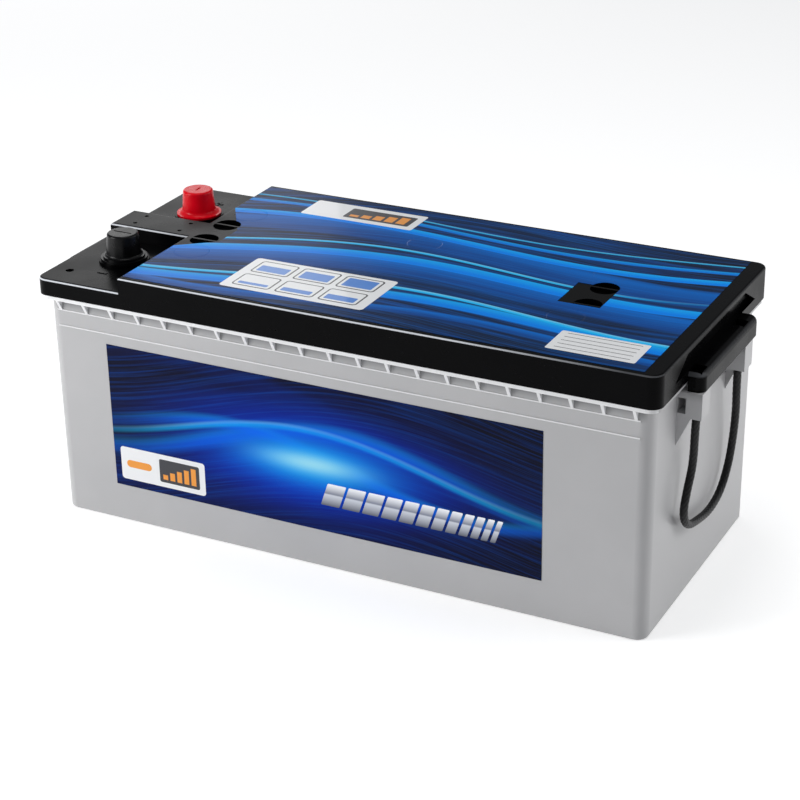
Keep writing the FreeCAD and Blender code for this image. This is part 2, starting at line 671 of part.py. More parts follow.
def plate_group(number, column, row, polarity, lug_end):
    """Plates of one polarity with their lugs burned into a cast strap and its riser."""
    positive = polarity == "positive"
    body = new_body(f"cell_{number}_{polarity}_plates")
    count = POSITIVES if positive else f"({POSITIVES} + 1)"
    thickness = f"{polarity}_thickness"
    first_y = f"(({count} - 1) * {PAIR_PITCH} / 2)"

    plate = new_sketch(body, "XZ_Plane", first_y)
    low, high = PLATE_Z, PLATE_TOP
    lug = [f"{lug_end} * {LUG_X} - lug_width / 2", f"{lug_end} * {LUG_X} + lug_width / 2"]
    polygon(plate, [(f"-{PLATE_X}", low), (PLATE_X, low), (PLATE_X, high),
                    (lug[1], high), (lug[1], f"{STRAP_Z} + strap_height / 2"),
                    (lug[0], f"{STRAP_Z} + strap_height / 2"), (lug[0], high), (f"-{PLATE_X}", high)])
    leaf = pad(body, plate, thickness, midplane=True)
    repeat(body, [leaf], "Y_Axis", f"({count} - 1) * {PAIR_PITCH}", count)

    strap = new_sketch(body, "XY_Plane", STRAP_Z)
    rectangle(strap, f"{lug_end} * {LUG_X} - strap_width / 2", f"{lug_end} * {LUG_X} + strap_width / 2",
              f"-{first_y} - {thickness}", f"{first_y} + {thickness}")
    pad(body, strap, "strap_height")

    # an arm and a riser stand against the wall that the current passes through
    lug_x = f"{lug_end} * {LUG_X}"
    if (number, polarity) in ((3, "positive"), (4, "negative")):
        wall = f"({ROW_Y} - partition / 2 - riser_gap)"
        block = [f"{lug_x} - weld_diameter", f"{lug_x} + weld_diameter"]
        near, far = sorted((f"{-row} * {wall}", f"{-row} * ({wall} - riser_thickness)"), key=value)
        start, stop = sorted((f"{-row} * {first_y}", f"{-row} * {wall}"), key=value)
        reach, rise = [*block, start, stop], [*block, near, far]
    elif (number, polarity) in ((1, "negative"), (6, "positive")):
        reach, rise = None, None
    else:
        wall = f"({CELL_X} / 2 - riser_gap)"
        block = ["-weld_diameter", "weld_diameter"]
        near, far = sorted((f"{lug_end} * {wall}", f"{lug_end} * ({wall} - riser_thickness)"), key=value)
        start, stop = sorted((lug_x, f"{lug_end} * {wall}"), key=value)
        reach, rise = [start, stop, *block], [near, far, *block]
    if rise:
        arm = new_sketch(body, "XY_Plane", STRAP_Z)
        rectangle(arm, *reach)
        pad(body, arm, "strap_height")
        riser = new_sketch(body, "XY_Plane", STRAP_Z)
        rectangle(riser, *rise)
        pad(body, riser, "strap_height + riser_height")
    place(body, f"{column} * {PITCH_X}", f"{row} * {ROW_Y}", "0")
    return body


def glass_mats(number, column, row):
    """The absorbent glass mats of one cell, one on each side of every positive plate."""
    body = new_body(f"cell_{number}_glass_mats")
    first = f"(({POSITIVES} - 1) * {PAIR_PITCH} / 2)"
    apart = "((positive_thickness + mat_thickness) / 2 + stack_play)"
    leaves = []
    for side in (-1, 1):
        mat = new_sketch(body, "XZ_Plane", f"{first} + {side} * {apart}")
        rectangle(mat, f"-{PLATE_X} - mat_margin", f"{PLATE_X} + mat_margin",
                  "case_floor", f"{PLATE_TOP} + mat_margin")
        leaves.append(pad(body, mat, "mat_thickness", midplane=True))
    repeat(body, leaves, "Y_Axis", f"({POSITIVES} - 1) * {PAIR_PITCH}", POSITIVES)
    place(body, f"{column} * {PITCH_X}", f"{row} * {ROW_Y}", "0")
    return body


def intercell_welds():
    """Lead slugs that join the risers through the holes in the partitions."""
    slugs = []
    for index, (x, y, z, axis) in enumerate(
            [(f"{side} * {PITCH_X} / 2", f"{row} * {ROW_Y}", WELD_Z, V(0, 1, 0))
             for row in (-1, 1) for side in (-1, 1)] + [(LUG_END, "0", WELD_Z, V(-1, 0, 0))]):
        slug = doc.addObject("Part::Cylinder", f"weld_slug_{index + 1}")
        slug.setExpression("Radius", ex("weld_diameter / 2 - bushing_clearance"))
        slug.setExpression("Height", ex(f"partition + 2 * riser_gap"))
        slug.Placement = FreeCAD.Placement(V(0, 0, 0), FreeCAD.Rotation(axis, 90))
        half = f"(partition / 2 + riser_gap)"
        along_x = axis.y > 0.5
        place(slug, f"{x} - {half}" if along_x else x, y if along_x else f"{y} - {half}", z)
        slugs.append(slug)
    welds = doc.addObject("Part::Compound", "intercell_welds")
    welds.Label = "intercell_welds"
    welds.Links = slugs
    return welds


# ---------------------------------------------------------------------------------------------
# Terminals: lead bushings moulded into the lid, the posts burned into them, and the push-on caps
# ---------------------------------------------------------------------------------------------
def make_bushing(name, top_diameter, side):
    """Tapered lead terminal with the flange that locks it under the deck."""
    body = new_body(f"{name}_bushing")
    bore = "(stem_diameter / 2 + bushing_clearance)"
    under = f"({DECK_Z} - deck_thickness)"
    foot = f"({top_diameter} / 2 + taper_height / taper_ratio / 2)"
    low = f"{under} - bushing_flange_height"
    revolve(body, [(bore, low), ("bushing_flange / 2", low),
                   ("bushing_flange / 2", under), ("bushing_diameter / 2", under),
                   ("bushing_diameter / 2", COLLAR_Z), (foot, COLLAR_Z),
                   (f"{top_diameter} / 2", f"{COLLAR_Z} + taper_height"),
                   (bore, f"{COLLAR_Z} + taper_height")])
    place(body, POST_X, f"{side} * {POST_Y}", "0")
    return body


def make_post(name, side):
    """Lead stem on a foot that is cast to the end strap."""
    body = new_body(f"{name}_post")
    foot_z = f"({STRAP_Z} + strap_height)"
    revolve(body, [("0", foot_z), ("stem_diameter / 2", foot_z),
                   ("stem_diameter / 2", f"{COLLAR_Z} + taper_height"), ("0", f"{COLLAR_Z} + taper_height")])
    foot = new_sketch(body, "XY_Plane", foot_z)
    rectangle(foot, f"-{PITCH_X} - {LUG_X} - strap_width / 2 - {POST_X}", "stem_diameter / 2 + foot_margin",
              "-stem_diameter", "stem_diameter")
    pad(body, foot, "foot_height")
    place(body, POST_X, f"{side} * {POST_Y}", "0")
    return body


def make_cap(name, top_diameter, side, rim_count):
    """Push-on cover: flared foot, tapered cup over the post and a slot in its crown."""
    body = new_body(f"{name}_cap")
    cavity = "(taper_height + cap_clearance)"
    crown = f"({cavity} + cap_roof)"
    inner_foot = f"({top_diameter} / 2 + taper_height / taper_ratio / 2 + cap_clearance)"
    inner_top = f"({top_diameter} / 2 + cap_clearance)"
    steps = [(f"cap_foot / 2 - {i} * cap_step", f"{j} * cap_rim")
             for i, j in ((0, 0), (0, 1), (1, 1), (1, 2))[:2 * rim_count]]
    revolve(body, [(inner_foot, "0")] + steps + [
        ("cap_body / 2", f"{rim_count} * cap_rim"), ("cap_crown / 2", crown), ("0", crown),
        ("0", cavity), (inner_top, cavity)])
    flare_z, body_r = value(f"{rim_count} * cap_rim"), value("cap_body / 2")
    fillet(body, f"cap_flare / {rim_count}",
           lambda e: edge_at(flare_z)(e) and abs(e.BoundBox.XMax - body_r) < 1e-3)
    crown_z, crown_r = value(crown), value("cap_crown / 2")
    fillet(body, "cap_round", lambda e: edge_at(crown_z)(e) and abs(e.BoundBox.XMax - crown_r) < 1e-3)
    slot = new_sketch(body, "XY_Plane", crown)
    half_x, half_y = f"({name}_slot_half)", "(cap_slot / 2)"
    if side > 0:
        half_x, half_y = half_y, half_x
    rectangle(slot, f"-{half_x}", half_x, f"-{half_y}", half_y)
    cut(body, slot, "cap_roof / 2")
    place(body, POST_X, f"{side} * {POST_Y}", f"{COLLAR_Z} + cap_gap")
    return body


# ---------------------------------------------------------------------------------------------
# Rope handles: a free loop below each ledge, and the fixed ends through the bosses
# ---------------------------------------------------------------------------------------------
# Inward of the bores, along Y and below the hinge line, from the front exit to the rear one
LOOP_ROUTE = [(0.0, -50.0, 0.0), (0.6, -49.6, 14.0), (1.6, -46.8, 28.0), (2.6, -46.2, 42.0),
              (3.7, -51.2, 56.0), (4.7, -55.2, 77.0), (5.4, -41.5, 93.5), (5.7, -20.5, 99.0),
              (5.9, 4.0, 100.5), (5.6, 26.5, 94.5), (4.6, 39.8, 78.5), (3.0, 43.2, 57.0),
              (1.2, 41.2, 34.0), (0.3, 36.9, 15.0), (0.0, 36.0, 0.0)]
BEND = 0.45


def rounded_path(points):
    """Straight runs joined by tangent arcs; returns the wire and the radius of each bend."""
    edges, radii, start = [], [], points[0]
    for before, corner, after in zip(points, points[1:], points[2:]):
        back, on = (before - corner), (after - corner)
        turn = math.pi - back.getAngle(on)
        trim = BEND * min(back.Length, on.Length)
        radii.append(trim / math.tan(turn / 2))
        back.normalize()
        on.normalize()
        enter, leave = corner + back * trim, corner + on * trim
        middle_way = (back + on).normalize()
        middle = corner + middle_way * radii[-1] * (1 / math.cos(turn / 2) - 1)
        edges.append(Part.LineSegment(start, enter).toShape())
        edges.append(Part.Arc(enter, middle, leave).toShape())
        start = leave
    edges.append(Part.LineSegment(start, points[-1]).toShape())
    return Part.Wire(edges), radii


def make_rope(name, end):
    """The hanging loop of one handle, with ball ends on its hinge line."""
    outlet, drop, reach = value(ROPE_X), value(AXIS_Z), value(ROPE_Y)
    points = [V(outlet - inward, y, drop - down) for inward, y, down in LOOP_ROUTE]
    points[0].y, points[-1].y = -reach, reach - value("inner_boss_inset")
    wire, radii = rounded_path(points)
    radius = value("rope_diameter / 2")
    direction = points[1] - points[0]
    ring = Part.Wire(Part.Circle(points[0], direction, radius).toShape())
    tube = wire.makePipeShell([ring], True, False)
    solid = Part.Solid(tube) if tube.ShapeType == "Shell" else tube
    swept = math.pi * radius ** 2 * wire.Length
    print("%s rope: length %.1f mm, smallest bend %.1f mm, volume %.4f of section x length"
          % (name, wire.Length, min(radii), solid.Volume / swept))
    for tip in (points[0], points[-1]):
        solid = solid.fuse(Part.makeSphere(radius, tip))
    if end < 0:
        solid.rotate(V(0, 0, 0), V(0, 0, 1), 180)
    rope = doc.addObject("Part::Feature", f"{name}_rope")
    rope.Label = f"{name}_rope"
    rope.Shape = solid
    return rope


def make_rope_ends(name, end):
    """The rope through both bosses of one end, each with the stopper that holds it."""
    body = new_body(f"{name}_rope_ends")
    for x, y in ((f"{end} * {ROPE_X}", across_at(end, side, ROPE_Y)) for side in (-1, 1)):
        stem = new_sketch(body, "XY_Plane", BOSS_Z)
        circle(stem, x, y, "rope_diameter")
        pad(body, stem, "boss_height + stopper_height / 2")
        stopper = new_sketch(body, "XY_Plane", LEDGE_LOW)
        circle(stopper, x, y, "stopper_diameter")
        pad(body, stopper, "stopper_height")
    return body


# ---------------------------------------------------------------------------------------------
# Valve plugs, the rubber valves and gaskets in them, and the sintered disc of the gas outlet
# ---------------------------------------------------------------------------------------------
def make_valve(number, x, y):
    """A cup-shaped plug with a nozzle, and the rubber cap that closes the nozzle."""
    plug = new_body(f"valve_plug_{number}")
    seat, flange = "gasket_thickness", "(gasket_thickness + plug_flange_height)"
    floor = f"({flange} - plug_cup_depth)"
    tip = f"({floor} + nozzle_height)"
    revolve(plug, [("nozzle_bore / 2", "-plug_length + gasket_thickness"),
                   ("plug_body / 2", "-plug_length + gasket_thickness"), ("plug_body / 2", seat),
                   ("plug_flange / 2", seat), ("plug_flange / 2", flange), ("plug_cup / 2", flange),
                   ("plug_cup / 2", floor), ("nozzle_diameter / 2", floor), ("nozzle_diameter / 2", tip),
                   ("nozzle_bore / 2", tip)])
    place(plug, x, y, SEAT_Z)
    rubber = new_body(f"valve_rubber_{number}")
    inner = "(nozzle_diameter / 2 + rubber_gap)"
    revolve(rubber, [(inner, f"{floor} + rubber_wall"), (f"{inner} + rubber_wall", f"{floor} + rubber_wall"),
                     (f"{inner} + rubber_wall", f"{tip} + rubber_wall"), ("0", f"{tip} + rubber_wall"),
                     ("0", tip), (inner, tip)])
    place(rubber, x, y, SEAT_Z)


def make_gaskets():
    """Flat rubber rings between the plug flanges and their seats."""
    body = new_body("valve_gaskets")
    rings = new_sketch(body, "XY_Plane", SEAT_Z)
    for x, y in VALVES:
        circle(rings, x, y, "plug_flange")
        circle(rings, x, y, "plug_body + 2 * plug_clearance")
    pad(body, rings, "gasket_thickness")
    return body


def make_flame_arrestor():
    """Porous disc pressed up under the gas outlet."""
    disc = doc.addObject("Part::Cylinder", "flame_arrestor")
    disc.Label = "flame_arrestor"
    disc.setExpression("Radius", ex("disc_diameter / 2"))
    disc.setExpression("Height", ex("disc_height"))
    place(disc, OUTLET_X, OUTLET_Y, "seam_height + seat_gap + disc_lip")
    return disc


# ---------------------------------------------------------------------------------------------
# Labels: thin printed films on the plateau and on the front wall
# ---------------------------------------------------------------------------------------------
def make_top_label():
    """Film over the plateau, notched and windowed round the wells."""
    body = new_body("top_label")
    left, right = f"({STEP_X} + edge_round)", f"({LID_X} - top_label_end)"
    notch = f"({left} + notch_depth)"
    side_y = f"({LID_Y} - top_label_margin)"
    outline = new_sketch(body, "XY_Plane", PLATEAU_Z)
    polygon(outline, [(left, f"-{side_y}"), (right, f"-{side_y}"), (right, side_y), (left, side_y),
                      (left, "notch_rear + notch_rear_flare"), (notch, "notch_rear"), (notch, "-notch_front"),
                      (left, "-notch_front - notch_front_flare")])
    pad(body, outline, "label_thickness")
    window = new_sketch(body, "XY_Plane", f"{PLATEAU_Z} + label_thickness")
    far = f"({WELL_X} + well_diameter / 2)"
    rectangle(window, f"{far} - window_length", far, "-window_half", "window_half")
    cut(body, window, "label_thickness")
    rear_wells = new_sketch(body, "XY_Plane", f"{PLATEAU_Z} + label_thickness")
    for x, y in WELLS[1::2]:
        circle(rear_wells, x, y, "well_diameter")
    cut(body, rear_wells, "label_thickness")
    return body


def make_front_label():
    """Film on the front wall, leaning with the wall's draft."""
    label = doc.addObject("Part::Box", "front_label")
    label.Label = "front_label"
    label.setExpression("Length", ex("front_label_length"))
    label.setExpression("Width", ex("label_thickness"))
    label.setExpression("Height", ex("seam_height - front_label_drop - front_label_foot"))
    label.Placement = FreeCAD.Placement(V(0, 0, 0), FreeCAD.Rotation(V(1, 0, 0), 1))
    label.setExpression("Placement.Rotation.Angle", ex(f"atan(case_draft / {RIM_Z})"))
    wall = f"({WALL_Y} - case_draft * (1 - front_label_foot / {RIM_Z}))"
    place(label, f"front_label_left - {LID_X}", f"-{wall} - label_thickness - label_glue", "front_label_foot")
    return label


# ---------------------------------------------------------------------------------------------
# Build, check and write every piece
# ---------------------------------------------------------------------------------------------
make_case()
make_lid()
for number, column, row, positive_end in CELLS:
    plate_group(number, column, row, "positive", positive_end)
    plate_group(number, column, row, "negative", -positive_end)
    glass_mats(number, column, row)
intercell_welds()
for name, side, rim_count in (("negative", -1, 2), ("positive", 1, 1)):
    make_bushing(name, f"{name}_top", side)
    make_post(name, side)
    make_cap(name, f"{name}_top", side, rim_count)
for name, end in ends:
    make_rope(name, end)
    make_rope_ends(name, end)
for number, (x, y) in enumerate(VALVES, start=1):
    make_valve(number, x, y)
make_gaskets()
make_flame_arrestor()
make_top_label()
make_front_label()
doc.recompute()

# a piece is whatever stands at the top of the tree: bodies, compounds and free features
used = {inner.Name for thing in doc.Objects if thing.TypeId == "Part::Compound" for inner in thing.Links}
pieces = [thing for thing in doc.Objects
          if thing.TypeId in ("PartDesign::Body", "Part::Compound", "Part::Cylinder",
                              "Part::Box", "Part::Feature")
          and thing.Name not in used]
for thing in doc.Objects:
    if {"Invalid", "Error"} & set(thing.State):
        raise RuntimeError("%s failed: %s" % (thing.Label, thing.State))
for piece in pieces:
    if piece.Shape.isNull() or not piece.Shape.isValid() or piece.Shape.Volume <= 0:
        raise RuntimeError("%s has no valid solid" % piece.Label)

os.makedirs("parts", exist_ok=True)
for piece in pieces:
    piece.Shape.exportStep("parts/%s.step" % piece.Label)
print("%d pieces written" % len(pieces))
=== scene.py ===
"""Looks of a sealed deep cycle battery: grey case, black stepped lid, printed films, capped posts, rope handles.

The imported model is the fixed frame. Everything is in metres, with X along the length, Y across and Z up.
"""

import math

import bmesh
import bpy
import numpy as np
from mathutils import Matrix, Vector


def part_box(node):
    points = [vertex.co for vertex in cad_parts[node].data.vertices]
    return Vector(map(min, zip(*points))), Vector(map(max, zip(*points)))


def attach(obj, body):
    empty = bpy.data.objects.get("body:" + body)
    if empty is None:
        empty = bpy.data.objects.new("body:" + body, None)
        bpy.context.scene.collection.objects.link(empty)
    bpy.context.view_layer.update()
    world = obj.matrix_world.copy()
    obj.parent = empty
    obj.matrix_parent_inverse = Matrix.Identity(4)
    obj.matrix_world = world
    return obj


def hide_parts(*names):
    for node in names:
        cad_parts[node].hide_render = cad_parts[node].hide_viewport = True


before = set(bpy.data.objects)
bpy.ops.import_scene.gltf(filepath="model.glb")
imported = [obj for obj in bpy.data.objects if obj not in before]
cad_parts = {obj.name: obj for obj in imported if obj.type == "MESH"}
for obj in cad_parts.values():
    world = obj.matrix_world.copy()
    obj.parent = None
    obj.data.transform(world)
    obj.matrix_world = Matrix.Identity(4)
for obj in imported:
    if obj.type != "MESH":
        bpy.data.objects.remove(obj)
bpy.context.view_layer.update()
scene = bpy.context.scene

# ---------------------------------------------------------------------------------------------
# Camera: a long lens that stands in front of the right-hand corner and looks down on the block
# ---------------------------------------------------------------------------------------------
CAMERA_PLACE = Vector((0.66902, -1.30189, 0.77080))
CAMERA_AZIMUTH, CAMERA_ELEVATION, CAMERA_ROLL = (math.radians(a) for a in (27.2135, 24.8445, -0.9448))
CAMERA_LENS = 96.48     # mm on a 36 mm sensor

camera_data = bpy.data.cameras.new("camera")
camera_data.lens = CAMERA_LENS
camera_data.sensor_width = 36
camera = bpy.data.objects.new("camera", camera_data)
back = Vector((math.sin(CAMERA_AZIMUTH) * math.cos(CAMERA_ELEVATION),
               -math.cos(CAMERA_AZIMUTH) * math.cos(CAMERA_ELEVATION), math.sin(CAMERA_ELEVATION)))
upright = (-back).to_track_quat("-Z", "Y").to_matrix().to_4x4()
camera.matrix_world = Matrix.Translation(CAMERA_PLACE) @ upright @ Matrix.Rotation(CAMERA_ROLL, 4, "Z")
scene.collection.objects.link(camera)
scene.camera = camera

# ---------------------------------------------------------------------------------------------
# Rope handles: 6 mm braided polyester, black, one loop hanging from the bosses at each end.
# A 16-plait braid has bright and dull ridges that cross at a steep angle and catch small lights.
# It is drawn coarser than the real one, with 6 strands each way for 8.
# ---------------------------------------------------------------------------------------------
ROPE_DIAMETER = 0.006
ROPE_EXIT = 0.2496          # from the middle of the block to the bores of the bosses
ROPE_HINGE = 0.1492         # height of the line that the loop swings about
BRAID_STRANDS = 6           # each way
BRAID_PITCH = 0.026         # one turn of a strand along the rope
BRAID_RELIEF = 0.00042      # depth of the grooves between strands
STRAND_ENDS = 0.35          # how high a strand still stands where it dives under another
ROPE_STEP = 0.0005          # mesh rings along the rope
ROPE_SIDES = 48
TIP_RINGS = 7
TIP_START = 0.12            # radians off the pole at the first ring of a rounded tip
ROUTE_STEPS = 24            # points of the centreline per point of the route

# inward of the bores, along Y, and below the hinge line
LOOP_ROUTE = [(0.0, -0.050, 0.0), (0.0006, -0.0496, 0.014), (0.0016, -0.0468, 0.028), (0.0026, -0.0464, 0.041),
              (0.0037, -0.0508, 0.054), (0.0046, -0.0556, 0.0715), (0.0052, -0.044, 0.0865),
              (0.0056, -0.0215, 0.093), (0.0059, 0.004, 0.098), (0.0056, 0.027, 0.094),
              (0.0046, 0.0398, 0.0785), (0.003, 0.0432, 0.057), (0.0012, 0.0412, 0.034),
              (0.0003, 0.0369, 0.015), (0.0, 0.036, 0.0)]


def colour(code):
    """An sRGB hex code as an opaque linear colour."""
    parts = [int(code[i:i + 2], 16) / 255 for i in (1, 3, 5)]
    return (*(p / 12.92 if p <= 0.04045 else ((p + 0.055) / 1.055) ** 2.4 for p in parts), 1.0)


def add(tree, kind, inputs=None, **settings):
    """One shader node: settings are its properties, and inputs its sockets' links or values by name or number."""
    node = tree.nodes.new("ShaderNode" + kind)
    for name, value in settings.items():
        setattr(node, name, value)
    for socket, value in (inputs or {}).items():
        if isinstance(value, bpy.types.NodeSocket):
            tree.links.new(value, node.inputs[socket])
        else:
            node.inputs[socket].default_value = value
    return node


def finish(name, **sockets):
    """A material of one principled shader, with its constants on the shader's own sockets."""
    material = bpy.data.materials.new(name)
    material.use_nodes = True
    tree = material.node_tree
    shader = tree.nodes["Principled BSDF"]
    for socket, value in sockets.items():
        shader.inputs[socket.replace("_", " ")].default_value = value
    return material, tree, shader


def place_of(tree):
    """Output socket with the point's place in the object's own frame, in metres."""
    return add(tree, "TexCoord").outputs["Object"]


def mottle(tree, shader, pattern, tones, strength, distance):
    """Mix two tones by a pattern, and raise the surface where it is strong."""
    shade = add(tree, "MixRGB", {"Fac": pattern.outputs[0], 1: colour(tones[0]), 2: colour(tones[1])})
    lift = add(tree, "Bump", {"Height": pattern.outputs[0], "Strength": strength, "Distance": distance})
    tree.links.new(shade.outputs[0], shader.inputs["Base Color"])
    tree.links.new(lift.outputs[0], shader.inputs["Normal"])


def dress(node, material):
    """Give a carried-over solid its finish."""
    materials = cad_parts[node].data.materials
    materials.clear()
    materials.append(material)


def mesh_object(name, vertices, faces, material, smooth=True):
    """A new mesh object in the scene with one material."""
    mesh = bpy.data.meshes.new(name)
    mesh.from_pydata([tuple(v) for v in vertices], [], faces)
    mesh.materials.append(material)
    mesh.polygons.foreach_set("use_smooth", [smooth] * len(mesh.polygons))
    mesh.update()
    piece = bpy.data.objects.new(name, mesh)
    scene.collection.objects.link(piece)
    return piece


def loop_line(end):
    """Centreline of a loop, read from the NURBS spline of its route."""
    curve = bpy.data.curves.new("route", "CURVE")
    curve.dimensions = "3D"
    spline = curve.splines.new("NURBS")
    spline.points.add(len(LOOP_ROUTE) - 1)
    for point, (inward, along, down) in zip(spline.points, LOOP_ROUTE):
        point.co = (end * (ROPE_EXIT - inward), end * along, ROPE_HINGE - down, 1)
    spline.order_u = 3
    spline.use_endpoint_u = True
    spline.resolution_u = ROUTE_STEPS
    holder = bpy.data.objects.new("route", curve)
    scene.collection.objects.link(holder)
    bpy.context.view_layer.update()
    mesh = bpy.data.meshes.new_from_object(holder)
    points = np.array([v.co for v in mesh.vertices], float)
    bpy.data.objects.remove(holder)
    bpy.data.curves.remove(curve)
    bpy.data.meshes.remove(mesh)
    return points


def braided_tube(name, line, material):
    """A rope along a line: ridges of two crossing families of strands, with rounded tips."""
    runs = np.linalg.norm(np.diff(line, axis=0), axis=1)
    reached = np.concatenate([[0], np.cumsum(runs)])
    length = reached[-1]
    radius = ROPE_DIAMETER / 2
    rings = int(length / ROPE_STEP)
    tip = [radius * (1 - math.cos(a)) for a in np.linspace(TIP_START, math.pi / 2, TIP_RINGS)]
    along = np.concatenate([[-radius + t for t in tip], np.linspace(0, length, rings)[1:-1],
                            [length + radius - t for t in reversed(tip)]])
    inside = np.clip(along, 0, length)
    centre = np.stack([np.interp(inside, reached, line[:, i]) for i in range(3)], axis=1)
    tangent = np.gradient(centre, axis=0)
    first = (line[1] - line[0]) / np.linalg.norm(line[1] - line[0])
    last = (line[-1] - line[-2]) / np.linalg.norm(line[-1] - line[-2])
    tangent[:len(tip)], tangent[-len(tip):] = first, last
    tangent /= np.linalg.norm(tangent, axis=1)[:, None]
    beyond = along - inside
    centre += tangent * beyond[:, None]
    shrink = np.sqrt(np.clip(1 - (beyond / radius) ** 2, 0.0, 1.0))
    side = np.cross(first, (0.0, 0.0, 1.0)) if abs(first[2]) < 0.9 else np.cross(first, (0.0, 1.0, 0.0))
    angles = np.linspace(0, 2 * math.pi, ROPE_SIDES, endpoint=False)
    vertices = []
    for spot, way, run, fit in zip(centre, tangent, along, shrink):
        side = side - way * (side @ way)
        side /= np.linalg.norm(side)
        other = np.cross(way, side)
        turn = angles / (2 * math.pi) * BRAID_STRANDS
        climb = run / BRAID_PITCH * BRAID_STRANDS
        one, two = turn + climb, turn - climb
        over = (np.floor(one) + np.floor(two)) % 2 == 0
        across = np.where(over, one, two) % 1
        onward = np.where(over, two, one) % 1
        arch = STRAND_ENDS + (1 - STRAND_ENDS) * np.sin(math.pi * onward)
        ridge = np.sqrt(np.clip(1 - (2 * across - 1) ** 2, 0, 1)) * arch
        reach = (radius - BRAID_RELIEF * (1 - ridge)) * fit
        for angle, r in zip(angles, reach):
            vertices.append(spot + side * math.cos(angle) * r + other * math.sin(angle) * r)
    count = len(along)
    faces = []
    for ring in range(count - 1):
        low, high = ring * ROPE_SIDES, (ring + 1) * ROPE_SIDES
        for i in range(ROPE_SIDES):
            j = (i + 1) % ROPE_SIDES
            faces.append((low + i, low + j, high + j, high + i))
    faces.append(tuple(reversed(range(ROPE_SIDES))))
    faces.append(tuple(range((count - 1) * ROPE_SIDES, count * ROPE_SIDES)))
    return mesh_object(name, vertices, faces, material)


rope_black, tree, shader = finish("braided_polyester_black", Base_Color=colour("#0a0a0c"), Roughness=0.42,
                                  IOR=1.5, Specular_IOR_Level=0.25, Sheen_Weight=0.02, Sheen_Roughness=0.4)
fibre = add(tree, "TexNoise", {"Vector": place_of(tree), "Scale": 2600.0, "Detail": 3.0})
mottle(tree, shader, fibre, ("#020203", "#0c0c0e"), 0.5, 0.0001)

for name, end in (("left", -1), ("right", 1)):
    line = loop_line(end)
    rope = braided_tube(f"{name}_handle_loop", line, rope_black)
    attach(rope, f"{name}_handle")
    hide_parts(f"{name}_rope")
    dress(f"{name}_rope_ends", rope_black)

# ---------------------------------------------------------------------------------------------
# Case: injection-moulded polypropylene copolymer, pale grey. Its tool is spark-eroded, which gives
# a fine satin grain that mirrors floor and lights only softly.
# ---------------------------------------------------------------------------------------------
WALL_FOOT = 0.10475         # half width of the case at its foot
WALL_OPENS = 0.75 / 185.7   # how far a wall leans out for its height
BEAD_PROUD = (0.00015, 0.00035)     # how far past the wall the painted highlight starts and is full
PANELS = (0.1655, 0.1755)   # heights between which painted shade darkens the walls beside the gussets, most at the top under the lid
case_grey, tree, shader = finish("moulded_polypropylene_grey", Roughness=0.36, IOR=1.49)
spot = place_of(tree)
cloud = add(tree, "TexNoise", {"Vector": spot, "Scale": 14.0, "Detail": 3.0})
shade = add(tree, "MixRGB", {"Fac": cloud.outputs[0], 1: colour("#b4b4b5"), 2: colour("#c4c3c4")})
axes = add(tree, "SeparateXYZ", {0: spot})
across = add(tree, "Math", {0: axes.outputs[1]}, operation="ABSOLUTE")
wall = add(tree, "Math", {0: axes.outputs[2], 1: WALL_OPENS, 2: WALL_FOOT}, operation="MULTIPLY_ADD")
past = add(tree, "Math", {0: across.outputs[0], 1: wall.outputs[0]}, operation="SUBTRACT")
proud = add(tree, "MapRange", {"Value": past.outputs[0], "From Min": BEAD_PROUD[0],
                               "From Max": BEAD_PROUD[1]})
# painted shade: the walls between the gussets on the long sides are darkened, more towards the lid above them
facing = add(tree, "SeparateXYZ", {0: add(tree, "TexCoord").outputs["Normal"]})
side = add(tree, "Math", {0: facing.outputs[1]}, operation="ABSOLUTE")
side = add(tree, "MapRange", {"Value": side.outputs[0], "From Min": 0.8, "From Max": 0.95})
climb = add(tree, "MapRange", {"Value": axes.outputs[2], "From Min": PANELS[0], "From Max": PANELS[1]})
painted_shade_mask = add(tree, "Math", {0: 1.0, 1: proud.outputs[0]}, operation="SUBTRACT")
painted_shade_mask = add(tree, "Math", {0: painted_shade_mask.outputs[0], 1: side.outputs[0]}, operation="MULTIPLY")
painted_shade_mask = add(tree, "Math", {0: painted_shade_mask.outputs[0], 1: climb.outputs[0]}, operation="MULTIPLY")
painted_panel_shade = add(tree, "MixRGB", {"Fac": painted_shade_mask.outputs[0], 1: shade.outputs[0], 2: colour("#747577")})
# painted highlight: beads, gussets and flange, which stand proud of the wall, are lightened to near white
painted_highlight = add(tree, "MixRGB", {"Fac": proud.outputs[0], 1: painted_panel_shade.outputs[0], 2: colour("#f4f4f5")})
grain = add(tree, "TexNoise", {"Vector": spot, "Scale": 1400.0, "Detail": 2.0})
lift = add(tree, "Bump", {"Height": grain.outputs[0], "Strength": 0.35, "Distance": 0.00006})
gloss = add(tree, "MapRange", {"Value": cloud.outputs[0], "From Min": 0.3, "From Max": 0.7,
                               "To Min": 0.28, "To Max": 0.40})
tree.links.new(painted_highlight.outputs[0], shader.inputs["Base Color"])
tree.links.new(gloss.outputs[0], shader.inputs["Roughness"])
tree.links.new(lift.outputs[0], shader.inputs["Normal"])

dress("case", case_grey)

# ---------------------------------------------------------------------------------------------
# Lid: the same plastic in black, polished on the deck and plateau, with its faces nearly black;
# its rounded edges carry thin bright lines of painted highlight.
# ---------------------------------------------------------------------------------------------
lid_black, tree, shader = finish("moulded_polypropylene_black", Roughness=0.28, IOR=1.49,
                                 Specular_IOR_Level=0.05)
spot = place_of(tree)
cloud = add(tree, "TexNoise", {"Vector": spot, "Scale": 30.0, "Detail": 4.0})
shade = add(tree, "MixRGB", {"Fac": cloud.outputs[0], 1: colour("#020203"), 2: colour("#050506")})
